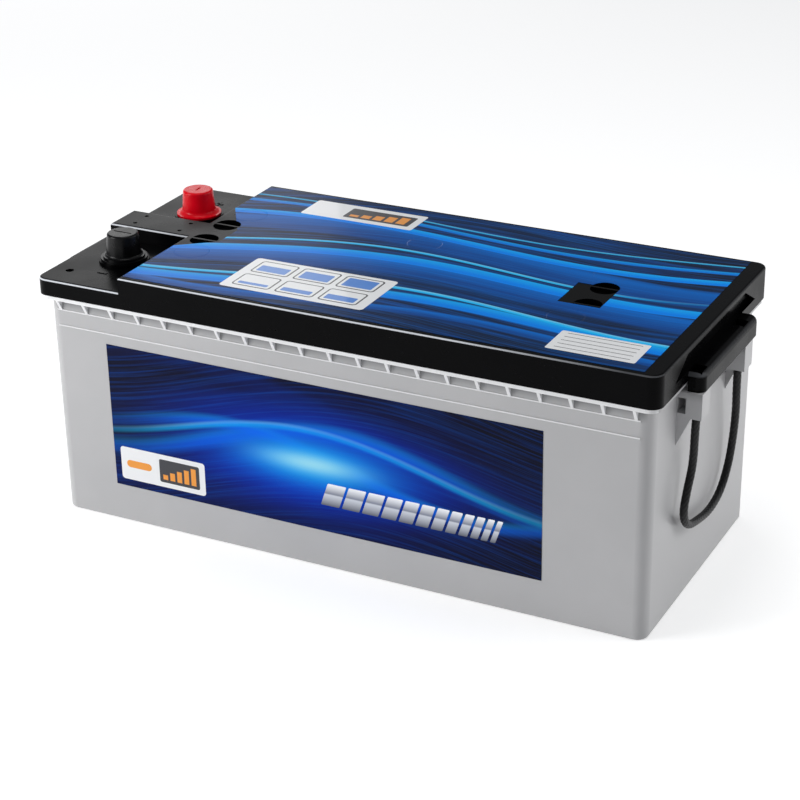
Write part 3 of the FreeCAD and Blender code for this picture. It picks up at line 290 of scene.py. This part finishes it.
# painted highlight on the rounded edges between a top and a side: strongest where they face
# half up, to the front and towards the terminals
facing = add(tree, "SeparateXYZ", {0: add(tree, "TexCoord").outputs["Normal"]})
flat = add(tree, "Math", {0: 1.0, 1: facing.outputs[2]}, operation="SUBTRACT")
half_up = add(tree, "Math", {0: flat.outputs[0], 1: facing.outputs[2]}, operation="MULTIPLY")
edge = add(tree, "MapRange", {"Value": half_up.outputs[0], "From Min": 0.13, "From Max": 0.22})
front = add(tree, "MapRange", {"Value": facing.outputs[1], "From Min": -0.6, "From Max": 0.1,
                               "To Min": 1.0, "To Max": 0.2})
edge = add(tree, "Math", {0: edge.outputs[0], 1: front.outputs[0]}, operation="MULTIPLY")
terminal_end = add(tree, "MapRange", {"Value": add(tree, "SeparateXYZ", {0: spot}).outputs[0], "From Min": 0.09,
                                      "From Max": 0.22, "To Min": 1.0, "To Max": 0.12})
edge = add(tree, "Math", {0: edge.outputs[0], 1: terminal_end.outputs[0]}, operation="MULTIPLY")
painted_edge_highlight = add(tree, "MixRGB", {"Fac": edge.outputs[0], 1: shade.outputs[0], 2: colour("#d9dce2")})
grain = add(tree, "TexNoise", {"Vector": spot, "Scale": 1100.0, "Detail": 2.0})
lift = add(tree, "Bump", {"Height": grain.outputs[0], "Strength": 0.25, "Distance": 0.00005})
gloss = add(tree, "MapRange", {"Value": cloud.outputs[0], "From Min": 0.3, "From Max": 0.7,
                               "To Min": 0.22, "To Max": 0.34})
tree.links.new(painted_edge_highlight.outputs[0], shader.inputs["Base Color"])
tree.links.new(gloss.outputs[0], shader.inputs["Roughness"])
tree.links.new(lift.outputs[0], shader.inputs["Normal"])
for node in ["lid"] + [f"valve_plug_{i}" for i in range(1, 7)]:
    dress(node, lid_black)

# ---------------------------------------------------------------------------------------------
# Printed films: gloss-laminated polypropylene stickers, ink under a clear laminate. A navy ground
# carries waves of blue and cyan light. The top film shows the valve plugs under it as faint rings.
# ---------------------------------------------------------------------------------------------
INK = {"midnight": "#0b0b16", "navy": "#0f1022", "slate": "#141c2c", "night": "#0c2270", "teal": "#0c2f5c",
       "deep": "#0d3596", "steel": "#0d4c9a", "royal": "#0640f0", "blue": "#0876ff", "azure": "#0086f4",
       "cyan": "#1cc4ff", "pale": "#9fe6ff", "white": "#f3f4f5", "orange": "#f39a2b", "dark": "#20222a",
       "level": "#2f7fd8"}
LIGHTER = {"night": "deep", "deep": "blue", "steel": "azure", "blue": "cyan", "azure": "cyan", "cyan": "pale"}
PLUG_PITCH, PLUG_ROW, PLUG_RADIUS = 0.150, 0.043, 0.0132
RING_WIDTH = 0.0007
TRAIL_FINENESS = 7.0        # noise cells per metre along a streak


def wave(tree, along, across, level, slope, swing, length, shift):
    """How far a point lies above a wavy line that runs along the film."""
    turn = add(tree, "Math", {0: along, 1: 2 * math.pi / length, 2: shift}, operation="MULTIPLY_ADD")
    rise = add(tree, "Math", {0: turn.outputs[0]}, operation="SINE")
    line = add(tree, "Math", {0: rise.outputs[0], 1: swing, 2: level}, operation="MULTIPLY_ADD")
    lean = add(tree, "Math", {0: along, 1: slope, 2: line.outputs[0]}, operation="MULTIPLY_ADD")
    return add(tree, "Math", {0: across, 1: lean.outputs[0]}, operation="SUBTRACT").outputs[0]


def ribbon(tree, ground, above, half_width, soft, ink, strength):
    """Lay one wave of ink over the ground colour, lighter along its upper side, with a soft border."""
    distance = add(tree, "Math", {0: above}, operation="ABSOLUTE")
    cover = add(tree, "MapRange", {"Value": distance.outputs[0], "From Min": half_width,
                                   "From Max": half_width + soft, "To Min": strength, "To Max": 0.0},
                interpolation_type="SMOOTHSTEP")
    upper = add(tree, "MapRange", {"Value": above, "From Min": -half_width / 2, "From Max": half_width + soft / 2,
                                   "To Min": 0.0, "To Max": 0.6})
    tone = add(tree, "MixRGB", {"Fac": upper.outputs[0], 1: colour(INK[ink]), 2: colour(INK[LIGHTER[ink]])})
    return add(tree, "MixRGB", {"Fac": cover.outputs[0], 1: ground, 2: tone.outputs[0]}).outputs[0]


def streaks(tree, ground, along, above, fineness, ink, strength):
    """Thin trails of light that follow a wave: noise drawn out along it."""
    trail = add(tree, "CombineXYZ", {0: add(tree, "Math", {0: along, 1: TRAIL_FINENESS},
                                            operation="MULTIPLY").outputs[0],
                                     1: add(tree, "Math", {0: above, 1: fineness}, operation="MULTIPLY").outputs[0]})
    haze = add(tree, "TexNoise", {"Vector": trail.outputs[0], "Scale": 1.0, "Detail": 4.0, "Roughness": 0.62})
    cover = add(tree, "MapRange", {"Value": haze.outputs[0], "From Min": 0.46, "From Max": 0.74,
                                   "To Min": 0.0, "To Max": strength})
    return add(tree, "MixRGB", {"Fac": cover.outputs[0], 1: ground, 2: colour(INK[ink])}).outputs[0]


def halo(tree, ground, along, across, centre, reach, ink, strength):
    """Lay an oval glow of ink over the ground colour."""
    parts = []
    for socket, middle, size in ((along, centre[0], reach[0]), (across, centre[1], reach[1])):
        near = add(tree, "Math", {0: socket, 1: 1 / size, 2: -middle / size}, operation="MULTIPLY_ADD")
        parts.append(add(tree, "Math", {0: near.outputs[0], 1: 2.0}, operation="POWER").outputs[0])
    total = add(tree, "Math", {0: parts[0], 1: parts[1]}, operation="ADD")
    fade = add(tree, "Math", {0: total.outputs[0], 1: -1.0}, operation="MULTIPLY")
    bell = add(tree, "Math", {0: math.e, 1: fade.outputs[0]}, operation="POWER")
    cover = add(tree, "Math", {0: bell.outputs[0], 1: strength}, operation="MULTIPLY")
    return add(tree, "MixRGB", {"Fac": cover.outputs[0], 1: ground, 2: colour(INK[ink])}).outputs[0]


# level, slope, swing, length, shift (radians), half width, soft border, ink, strength; lengths in metres
FRONT_WAVES = [(0.058, 0.02, 0.020, 0.46, 0.3, 0.0015, 0.012, "night", 0.35),
               (0.072, 0.03, 0.026, 0.52, 0.9, 0.0010, 0.014, "night", 0.45),
               (0.100, -0.03, 0.018, 0.44, 2.2, 0.0010, 0.016, "night", 0.45),
               (0.122, -0.05, 0.016, 0.50, 3.0, 0.0010, 0.010, "night", 0.30),
               (0.088, 0.02, 0.021, 0.40, 1.6, 0.0005, 0.010, "blue", 0.70),
               (0.083, -0.04, 0.015, 0.36, 2.9, 0.0004, 0.007, "blue", 0.70),
               (0.091, 0.00, 0.018, 0.42, 1.9, 0.0004, 0.0035, "cyan", 0.85)]
GLOW_CENTRE = (-0.018, 0.083)
film_front, tree, shader = finish("laminated_film_front", Roughness=0.22, IOR=1.5, Specular_IOR_Level=0.07)
axes = add(tree, "SeparateXYZ", {0: place_of(tree)})
along, across = axes.outputs[0], axes.outputs[2]
ink = halo(tree, colour(INK["midnight"]), along, across, (-0.020, 0.084), (0.110, 0.040), "night", 0.50)
trail = wave(tree, along, across, 0.085, 0.05, 0.020, 0.48, 1.4)
ink = streaks(tree, ink, along, trail, 190.0, "night", 0.28)
for level, slope, swing, length, shift, half_width, soft, tone, strength in FRONT_WAVES:
    above = wave(tree, along, across, level, slope, swing, length, shift)
    ink = ribbon(tree, ink, above, half_width, soft, tone, strength)
ink = halo(tree, ink, along, across, (-0.20, 0.100), (0.075, 0.06), "navy", 0.92)
ink = halo(tree, ink, along, across, (0.19, 0.100), (0.110, 0.05), "navy", 0.85)
ink = halo(tree, ink, along, across, GLOW_CENTRE, (0.086, 0.030), "royal", 0.95)
ink = streaks(tree, ink, along, trail, 420.0, "blue", 0.16)
ink = halo(tree, ink, along, across, GLOW_CENTRE, (0.048, 0.014), "cyan", 0.95)
ink = halo(tree, ink, along, across, GLOW_CENTRE, (0.030, 0.006), "pale", 1.0)
tree.links.new(ink, shader.inputs["Base Color"])
ripple = add(tree, "TexNoise", {"Vector": place_of(tree), "Scale": 18.0, "Detail": 1.0})
lift = add(tree, "Bump", {"Height": ripple.outputs[0], "Strength": 0.15, "Distance": 0.002})
tree.links.new(lift.outputs[0], shader.inputs["Normal"])
dress("front_label", film_front)

TOP_WAVES = [(-0.090, 0.02, 0.010, 0.40, 0.4, 0.0035, 0.0030, "steel", 0.9),
             (-0.072, 0.05, 0.013, 0.46, 1.1, 0.0050, 0.0030, "azure", 0.95),
             (-0.060, 0.05, 0.015, 0.44, 1.3, 0.0016, 0.0012, "cyan", 0.95),
             (-0.030, 0.10, 0.020, 0.52, 1.7, 0.0095, 0.0060, "steel", 0.85),
             (-0.012, 0.12, 0.020, 0.50, 1.9, 0.0060, 0.0015, "azure", 0.98),
             (0.006, 0.13, 0.022, 0.48, 2.1, 0.0012, 0.0010, "cyan", 0.95),
             (0.030, 0.08, 0.024, 0.56, 2.3, 0.0110, 0.0080, "steel", 0.80),
             (0.052, 0.10, 0.020, 0.54, 2.7, 0.0042, 0.0012, "azure", 0.98),
             (0.074, 0.05, 0.014, 0.50, 3.0, 0.0020, 0.0016, "azure", 0.80),
             (0.086, 0.03, 0.010, 0.46, 3.3, 0.0008, 0.0008, "cyan", 0.75)]
film_top, tree, shader = finish("laminated_film_top", Roughness=0.25, IOR=1.5, Specular_IOR_Level=0.04)
axes = add(tree, "SeparateXYZ", {0: place_of(tree)})
along, across = axes.outputs[0], axes.outputs[1]
ink = colour(INK["slate"])
ink = halo(tree, ink, along, across, (0.06, 0.0), (0.13, 0.10), "teal", 0.9)
trail = wave(tree, along, across, 0.0, 0.10, 0.020, 0.50, 1.9)
ink = streaks(tree, ink, along, trail, 150.0, "steel", 0.9)
for level, slope, swing, length, shift, half_width, soft, tone, strength in TOP_WAVES:
    above = wave(tree, along, across, level, slope, swing, length, shift)
    ink = ribbon(tree, ink, above, half_width, soft, tone, strength)
ink = streaks(tree, ink, along, trail, 520.0, "azure", 0.30)
tree.links.new(ink, shader.inputs["Base Color"])
# rings over the plugs: distance from the nearest plug, which stand in a grid of one pitch and two rows
shifted = add(tree, "Math", {0: along, 1: 1.5 * PLUG_PITCH}, operation="ADD")
folded = add(tree, "Math", {0: shifted.outputs[0], 1: PLUG_PITCH}, operation="MODULO")
near_x = add(tree, "Math", {0: folded.outputs[0], 1: PLUG_PITCH / 2}, operation="SUBTRACT")
mirrored = add(tree, "Math", {0: across}, operation="ABSOLUTE")
near_y = add(tree, "Math", {0: mirrored.outputs[0], 1: PLUG_ROW}, operation="SUBTRACT")
flat = add(tree, "CombineXYZ", {0: near_x.outputs[0], 1: near_y.outputs[0]})
away = add(tree, "VectorMath", {0: flat.outputs[0]}, operation="LENGTH")
ring = add(tree, "Math", {0: away.outputs["Value"], 1: PLUG_RADIUS}, operation="SUBTRACT")
groove = add(tree, "MapRange", {"Value": add(tree, "Math", {0: ring.outputs[0]}, operation="ABSOLUTE").outputs[0],
                                "From Min": 0.0, "From Max": RING_WIDTH, "To Min": -1.0, "To Max": 0.0},
             interpolation_type="SMOOTHSTEP")
ripple = add(tree, "TexNoise", {"Vector": place_of(tree), "Scale": 16.0, "Detail": 1.0})
height = add(tree, "Math", {0: ripple.outputs[0], 1: 5.0, 2: groove.outputs[0]}, operation="MULTIPLY_ADD")
lift = add(tree, "Bump", {"Height": height.outputs[0], "Strength": 0.5, "Distance": 0.0003})
tree.links.new(lift.outputs[0], shader.inputs["Normal"])
dress("top_label", film_top)

# Panels and motifs are a second layer of opaque ink, so each is a thin plate on the film
INK_THICKNESS = 0.00004
print_white, *_ = finish("screen_ink_white", Base_Color=colour(INK["white"]), Roughness=0.3, Coat_Weight=0.25)
print_dark, *_ = finish("screen_ink_dark", Base_Color=colour(INK["dark"]), Roughness=0.3, Coat_Weight=0.25)
print_orange, *_ = finish("screen_ink_orange", Base_Color=colour(INK["orange"]), Roughness=0.3, Coat_Weight=0.25)
print_blue, *_ = finish("screen_ink_blue", Base_Color=colour(INK["level"]), Roughness=0.3, Coat_Weight=0.25)
print_silver, tree, shader = finish("foil_ink_silver", Roughness=0.28, Metallic=0.6)
axes = add(tree, "SeparateXYZ", {0: place_of(tree)})
# painted reflection: the foil's colour runs with height from dark through a pale band and a dark line to near white
# at the top
painted_reflection = add(tree, "MapRange", {"Value": axes.outputs[2], "From Min": 0.052, "From Max": 0.070})
ramp = add(tree, "ValToRGB", {0: painted_reflection.outputs[0]})
ramp.color_ramp.elements[0].color = colour("#5b5f6b")
ramp.color_ramp.elements[1].color = colour("#f4f6fa")
ramp.color_ramp.elements.new(0.5).color = colour("#c9cdd6")
ramp.color_ramp.elements.new(0.56).color = colour("#7c8190")
tree.links.new(ramp.outputs[0], shader.inputs["Base Color"])

label_low, label_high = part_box("front_label")
CASE_LEAN = math.atan(WALL_OPENS)
rise = (label_high.z - label_low.z) / math.cos(CASE_LEAN)
front_plane = (Vector((0, label_low.y + math.sin(CASE_LEAN) * rise, label_low.z)),
               Vector((1, 0, 0)), Vector((0, -math.sin(CASE_LEAN), math.cos(CASE_LEAN))))
top_plane = (Vector((0, 0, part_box("top_label")[1].z)), Vector((1, 0, 0)), Vector((0, 1, 0)))


def panel(x0, x1, y0, y1, radius=0.0, lean=0.0):
    """Outline of a rectangle with round corners, its top pushed along by lean."""
    steps = 6 if radius else 0
    spots = []
    for cx, cy, start in ((x1 - radius, y0 + radius, -90), (x1 - radius, y1 - radius, 0),
                          (x0 + radius, y1 - radius, 90), (x0 + radius, y0 + radius, 180)):
        for i in range(steps + 1):
            turn = math.radians(start + 90 * i / max(steps, 1))
            spots.append((cx + radius * math.cos(turn), cy + radius * math.sin(turn)))
    return [(x + lean * (y - y0), y) for x, y in spots]


def printed(name, plane, outlines, material, layer=1, height=None):
    """Thin closed plates of ink on a film, each from its outline in the film's own plane."""
    origin, right, up = plane
    out = right.cross(up)
    mesh = bmesh.new()
    for outline in outlines:
        low, high = ([mesh.verts.new(origin + right * x + up * y + out * level) for x, y in outline]
                     for level in (INK_THICKNESS * (layer - 1) + INK_THICKNESS / 4, height or INK_THICKNESS * layer))
        mesh.faces.new(high)
        mesh.faces.new(list(reversed(low)))
        for i in range(len(outline)):
            j = (i + 1) % len(outline)
            mesh.faces.new((low[i], low[j], high[j], high[i]))
    data = bpy.data.meshes.new(name)
    mesh.to_mesh(data)
    mesh.free()
    data.materials.append(material)
    piece = bpy.data.objects.new(name, data)
    scene.collection.objects.link(piece)
    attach(piece, "battery")
    return piece


# front film: a white panel with a level gauge low on the left, and slanted foil bars low on the right
printed("front_panel", front_plane, [panel(-0.184, -0.110, 0.006, 0.033, 0.0025)], print_white)
printed("front_gauge_case", front_plane, [panel(-0.150, -0.115, 0.010, 0.029, 0.0015)], print_dark, layer=2)
printed("front_gauge_bars", front_plane,
        [panel(-0.147 + 0.0062 * i, -0.1428 + 0.0062 * i, 0.0125, 0.0165 + 0.0025 * i) for i in range(5)],
        print_orange, layer=3)
printed("front_panel_rings", front_plane, [panel(-0.179, -0.157, 0.0165, 0.0225, 0.003)], print_orange, layer=2)
bars = []
left = -0.012
for i in range(12):
    width = 0.0150 - 0.0010 * i
    bars.append(panel(left, left + width, 0.0215, 0.0395, 0.0008, 0.35))
    left += width + 0.0022
printed("front_foil_bars", front_plane, bars, print_silver)

# top film: a gauge panel at the rear, a plan of the six cells in front, and a ruled panel at the right
printed("top_gauge_panel", top_plane, [panel(-0.118, -0.022, 0.064, 0.096, 0.002)], print_white)
printed("top_gauge_case", top_plane, [panel(-0.084, -0.028, 0.070, 0.090, 0.0015)], print_dark, layer=2)
printed("top_gauge_bars", top_plane,
        [panel(-0.080 + 0.0100 * i, -0.0725 + 0.0100 * i, 0.073, 0.077 + 0.0024 * i) for i in range(5)],
        print_orange, layer=3)
printed("top_cell_panel", top_plane, [panel(-0.098, 0.018, -0.092, -0.034, 0.003)], print_white)
cells = [(-0.091 + 0.035 * i, -0.0865 + 0.0265 * j, i + 3 * j) for i in range(3) for j in range(2)]
printed("top_cell_outlines", top_plane,
        [panel(x, x + 0.031, y, y + 0.022, 0.003) for x, y, _ in cells], print_dark, layer=2)
printed("top_cell_fills", top_plane,
        [panel(x + 0.0012, x + 0.0298, y + 0.0012, y + 0.0208, 0.002) for x, y, _ in cells], print_white, layer=3)
printed("top_cell_levels", top_plane,
        [panel(x + 0.0035, x + 0.0275, y + 0.0035, y + 0.0075 + 0.0022 * level, 0.001) for x, y, level in cells],
        print_blue, layer=4)
printed("top_ruled_panel", top_plane, [panel(0.158, 0.222, -0.098, -0.066, 0.0015)], print_white)
printed("top_rules", top_plane, [panel(0.163, 0.217, -0.0935 + 0.006 * i, -0.0929 + 0.006 * i) for i in range(5)],
        print_dark, layer=2)

# ---------------------------------------------------------------------------------------------
# Terminal covers: soft moulded PVC, one red and one black, pushed over the lead posts
# ---------------------------------------------------------------------------------------------
COVERS = (("positive_cap", "soft_pvc_red", "#e00018", 0.28, 0.15, ("#d80014", "#ee0420")),
          ("negative_cap", "soft_pvc_black", "#08080a", 0.30, 0.16, ("#040405", "#09090b")))
for node, name, base, rough, shine, tones in COVERS:
    soft_pvc, tree, shader = finish(name, Base_Color=colour(base), Roughness=rough, IOR=1.53,
                                    Specular_IOR_Level=shine)
    spot = place_of(tree)
    cloud = add(tree, "TexNoise", {"Vector": spot, "Scale": 120.0, "Detail": 3.0})
    shade = add(tree, "MixRGB", {"Fac": cloud.outputs[0], 1: colour(tones[0]), 2: colour(tones[1])})
    gloss = add(tree, "MapRange", {"Value": cloud.outputs[0], "To Min": 0.2, "To Max": 0.38})
    skin = add(tree, "TexNoise", {"Vector": spot, "Scale": 900.0, "Detail": 2.0})
    lift = add(tree, "Bump", {"Height": skin.outputs[0], "Strength": 0.2, "Distance": 0.00005})
    tree.links.new(shade.outputs[0], shader.inputs["Base Color"])
    tree.links.new(gloss.outputs[0], shader.inputs["Roughness"])
    tree.links.new(lift.outputs[0], shader.inputs["Normal"])
    dress(node, soft_pvc)

# raised signs of polarity in the lid beside each cover, as the mould gives them
DECK_LEVEL = 0.192
POST_X, SIGN_Y = -0.204, 0.083
SIGN_REACH, SIGN_BAR, SIGN_HEIGHT = 0.0042, 0.0012, 0.00045
deck_plane = (Vector((0, 0, DECK_LEVEL)), Vector((1, 0, 0)), Vector((0, 1, 0)))
for name, y, bars in (("negative_sign", -SIGN_Y, 1), ("positive_sign", SIGN_Y, 2)):
    strokes = [panel(POST_X - SIGN_REACH, POST_X + SIGN_REACH, y - SIGN_BAR, y + SIGN_BAR, 0.0008),
               panel(POST_X - SIGN_BAR, POST_X + SIGN_BAR, y - SIGN_REACH, y + SIGN_REACH, 0.0008)]
    printed(name, deck_plane, strokes[:bars], lid_black, height=SIGN_HEIGHT)

# ---------------------------------------------------------------------------------------------
# Lead parts: posts, bushings, straps and the welds through the partitions, cast or fused from a
# lead alloy. It dulls within hours to a soft blue-grey with brighter rubbed spots.
# ---------------------------------------------------------------------------------------------
lead_cast, tree, shader = finish("cast_lead_alloy", Metallic=1.0, Roughness=0.45)
cloud = add(tree, "TexNoise", {"Vector": place_of(tree), "Scale": 160.0, "Detail": 5.0})
gloss = add(tree, "MapRange", {"Value": cloud.outputs[0], "To Min": 0.35, "To Max": 0.6})
tree.links.new(gloss.outputs[0], shader.inputs["Roughness"])
mottle(tree, shader, cloud, ("#7d838b", "#a9aeb5"), 0.4, 0.0003)
for node in ("negative_post", "positive_post", "negative_bushing", "positive_bushing", "intercell_welds"):
    dress(node, lead_cast)

# ---------------------------------------------------------------------------------------------
# Plate stacks: cast grids pasted with lead dioxide, chocolate brown, or spongy lead, grey, with
# felted glass mats between them. The grid shows through the paste as fine raised squares.
# ---------------------------------------------------------------------------------------------
GRID_PITCH = 0.008
PLATE_TOP = 0.146
for polarity, tones in (("positive", ("#3b2318", "#54372a")), ("negative", ("#6c7077", "#868b92"))):
    pasted, tree, shader = finish(f"pasted_plate_{polarity}", Roughness=0.8, IOR=1.6)
    spot = place_of(tree)
    axes = add(tree, "SeparateXYZ", {0: spot})
    cloud = add(tree, "TexNoise", {"Vector": spot, "Scale": 220.0, "Detail": 4.0})
    paste = add(tree, "MixRGB", {"Fac": cloud.outputs[0], 1: colour(tones[0]), 2: colour(tones[1])})
    waves = [add(tree, "Math", {0: add(tree, "Math", {0: axis, 1: 2 * math.pi / GRID_PITCH},
                                       operation="MULTIPLY").outputs[0]}, operation="COSINE").outputs[0]
             for axis in (axes.outputs[0], axes.outputs[2])]
    grid = add(tree, "Math", {0: waves[0], 1: waves[1]}, operation="MAXIMUM")
    bars = add(tree, "MapRange", {"Value": grid.outputs[0], "From Min": 0.8, "From Max": 1.0})
    strap = add(tree, "MapRange", {"Value": axes.outputs[2], "From Min": PLATE_TOP, "From Max": PLATE_TOP + 0.001})
    shade = add(tree, "MixRGB", {"Fac": strap.outputs[0], 1: paste.outputs[0], 2: colour("#9aa0a7")})
    gloss = add(tree, "MapRange", {"Value": strap.outputs[0], "To Min": 0.85, "To Max": 0.45})
    lift = add(tree, "Bump", {"Height": bars.outputs[0], "Strength": 0.5, "Distance": 0.0004})
    tree.links.new(shade.outputs[0], shader.inputs["Base Color"])
    tree.links.new(strap.outputs[0], shader.inputs["Metallic"])
    tree.links.new(gloss.outputs[0], shader.inputs["Roughness"])
    tree.links.new(lift.outputs[0], shader.inputs["Normal"])
    for cell in range(1, 7):
        dress(f"cell_{cell}_{polarity}_plates", pasted)

glass_mat, tree, shader = finish("felted_glass_mat", Roughness=0.95, IOR=1.45)
fibre = add(tree, "TexNoise", {"Vector": place_of(tree), "Scale": 700.0, "Detail": 6.0, "Roughness": 0.7})
mottle(tree, shader, fibre, ("#dddcd6", "#f2f1ec"), 0.6, 0.0002)
for cell in range(1, 7):
    dress(f"cell_{cell}_glass_mats", glass_mat)

# ---------------------------------------------------------------------------------------------
# Valve rubbers, plug gaskets and the disc of the gas outlet: black EPDM caps and flat rings, and
# a white disc of sintered polypropylene beads that stops a flame but lets gas out.
# ---------------------------------------------------------------------------------------------
rubber, tree, shader = finish("epdm_rubber_black", Roughness=0.7, IOR=1.52)
bloom = add(tree, "TexNoise", {"Vector": place_of(tree), "Scale": 400.0, "Detail": 4.0})
mottle(tree, shader, bloom, ("#121213", "#232325"), 0.3, 0.0001)
for node in ["valve_gaskets"] + [f"valve_rubber_{i}" for i in range(1, 7)]:
    dress(node, rubber)
disc_white, tree, shader = finish("sintered_polypropylene_white", Roughness=0.9, IOR=1.49)
beads = add(tree, "TexVoronoi", {"Vector": place_of(tree), "Scale": 2500.0})
mottle(tree, shader, beads, ("#e9e9e4", "#c9c9c2"), 0.6, 0.0002)
dress("flame_arrestor", disc_white)

# ---------------------------------------------------------------------------------------------
# Stage: a pale floor and soft studio lights. The floor looks white to the camera and in
# reflections by a little glow of its own, which doesn't light the battery.
# ---------------------------------------------------------------------------------------------
floor_paint, tree, shader = finish("floor_white", Base_Color=colour("#f2f2f2"), Roughness=0.9,
                                   Specular_IOR_Level=0.1)
FLOOR_HALF = 9.0
FLOOR_GLOW = 0.45
floor = mesh_object("floor", [(x * FLOOR_HALF, y * FLOOR_HALF, 0) for x, y in ((-1, -1), (1, -1), (1, 1), (-1, 1))],
                    [(0, 1, 2, 3)], floor_paint, smooth=False)
glow = add(tree, "Emission", {"Color": (1, 1, 1, 1), "Strength": FLOOR_GLOW})
rays = add(tree, "LightPath")
direct = add(tree, "Math", {0: rays.outputs["Is Camera Ray"], 1: rays.outputs["Is Transmission Ray"]},
             operation="MAXIMUM")
lit = add(tree, "AddShader", {0: shader.outputs[0], 1: glow.outputs[0]})
direct = add(tree, "Math", {0: direct.outputs[0], 1: rays.outputs["Is Glossy Ray"]}, operation="MAXIMUM")
mix = add(tree, "MixShader", {0: direct.outputs[0], 1: shader.outputs[0], 2: lit.outputs[0]})
tree.links.new(mix.outputs[0], tree.nodes["Material Output"].inputs[0])

world = bpy.data.worlds.new("studio")
scene.world = world
world.use_nodes = True
tree = world.node_tree
sky = tree.nodes["Background"].inputs
sky["Color"].default_value = colour("#e9ecf0")
sky["Strength"].default_value = 0.32


def softbox(name, place, target, size, watts):
    """A rectangular white area lamp aimed at a point."""
    lamp = bpy.data.lights.new(name, "AREA")
    lamp.shape = "RECTANGLE"
    lamp.size, lamp.size_y = size
    lamp.energy = watts
    stand = bpy.data.objects.new(name, lamp)
    stand.location = place
    stand.rotation_euler = (Vector(target) - Vector(place)).to_track_quat("-Z", "Y").to_euler()
    scene.collection.objects.link(stand)


softbox("rear_left", (-1.75, 1.95, 0.85), (0, 0, 0.2), (1.1, 0.9), 6.0)
softbox("overhead", (-0.2, 0.0, 1.9), (0, 0, 0.1), (1.2, 0.8), 8.0)
softbox("left_front", (-1.25, -1.10, 0.58), (-0.10, 0, 0.08), (0.8, 0.9), 18.5)
softbox("right_rear", (1.5, 1.3, 0.6), (0.2, 0, 0.1), (0.4, 1.1), 6.0)
softbox("right_side", (0.78, 0.15, 0.52), (0.24, 0, 0.10), (0.4, 0.4), 1.3)

scene.view_settings.view_transform = "Standard"
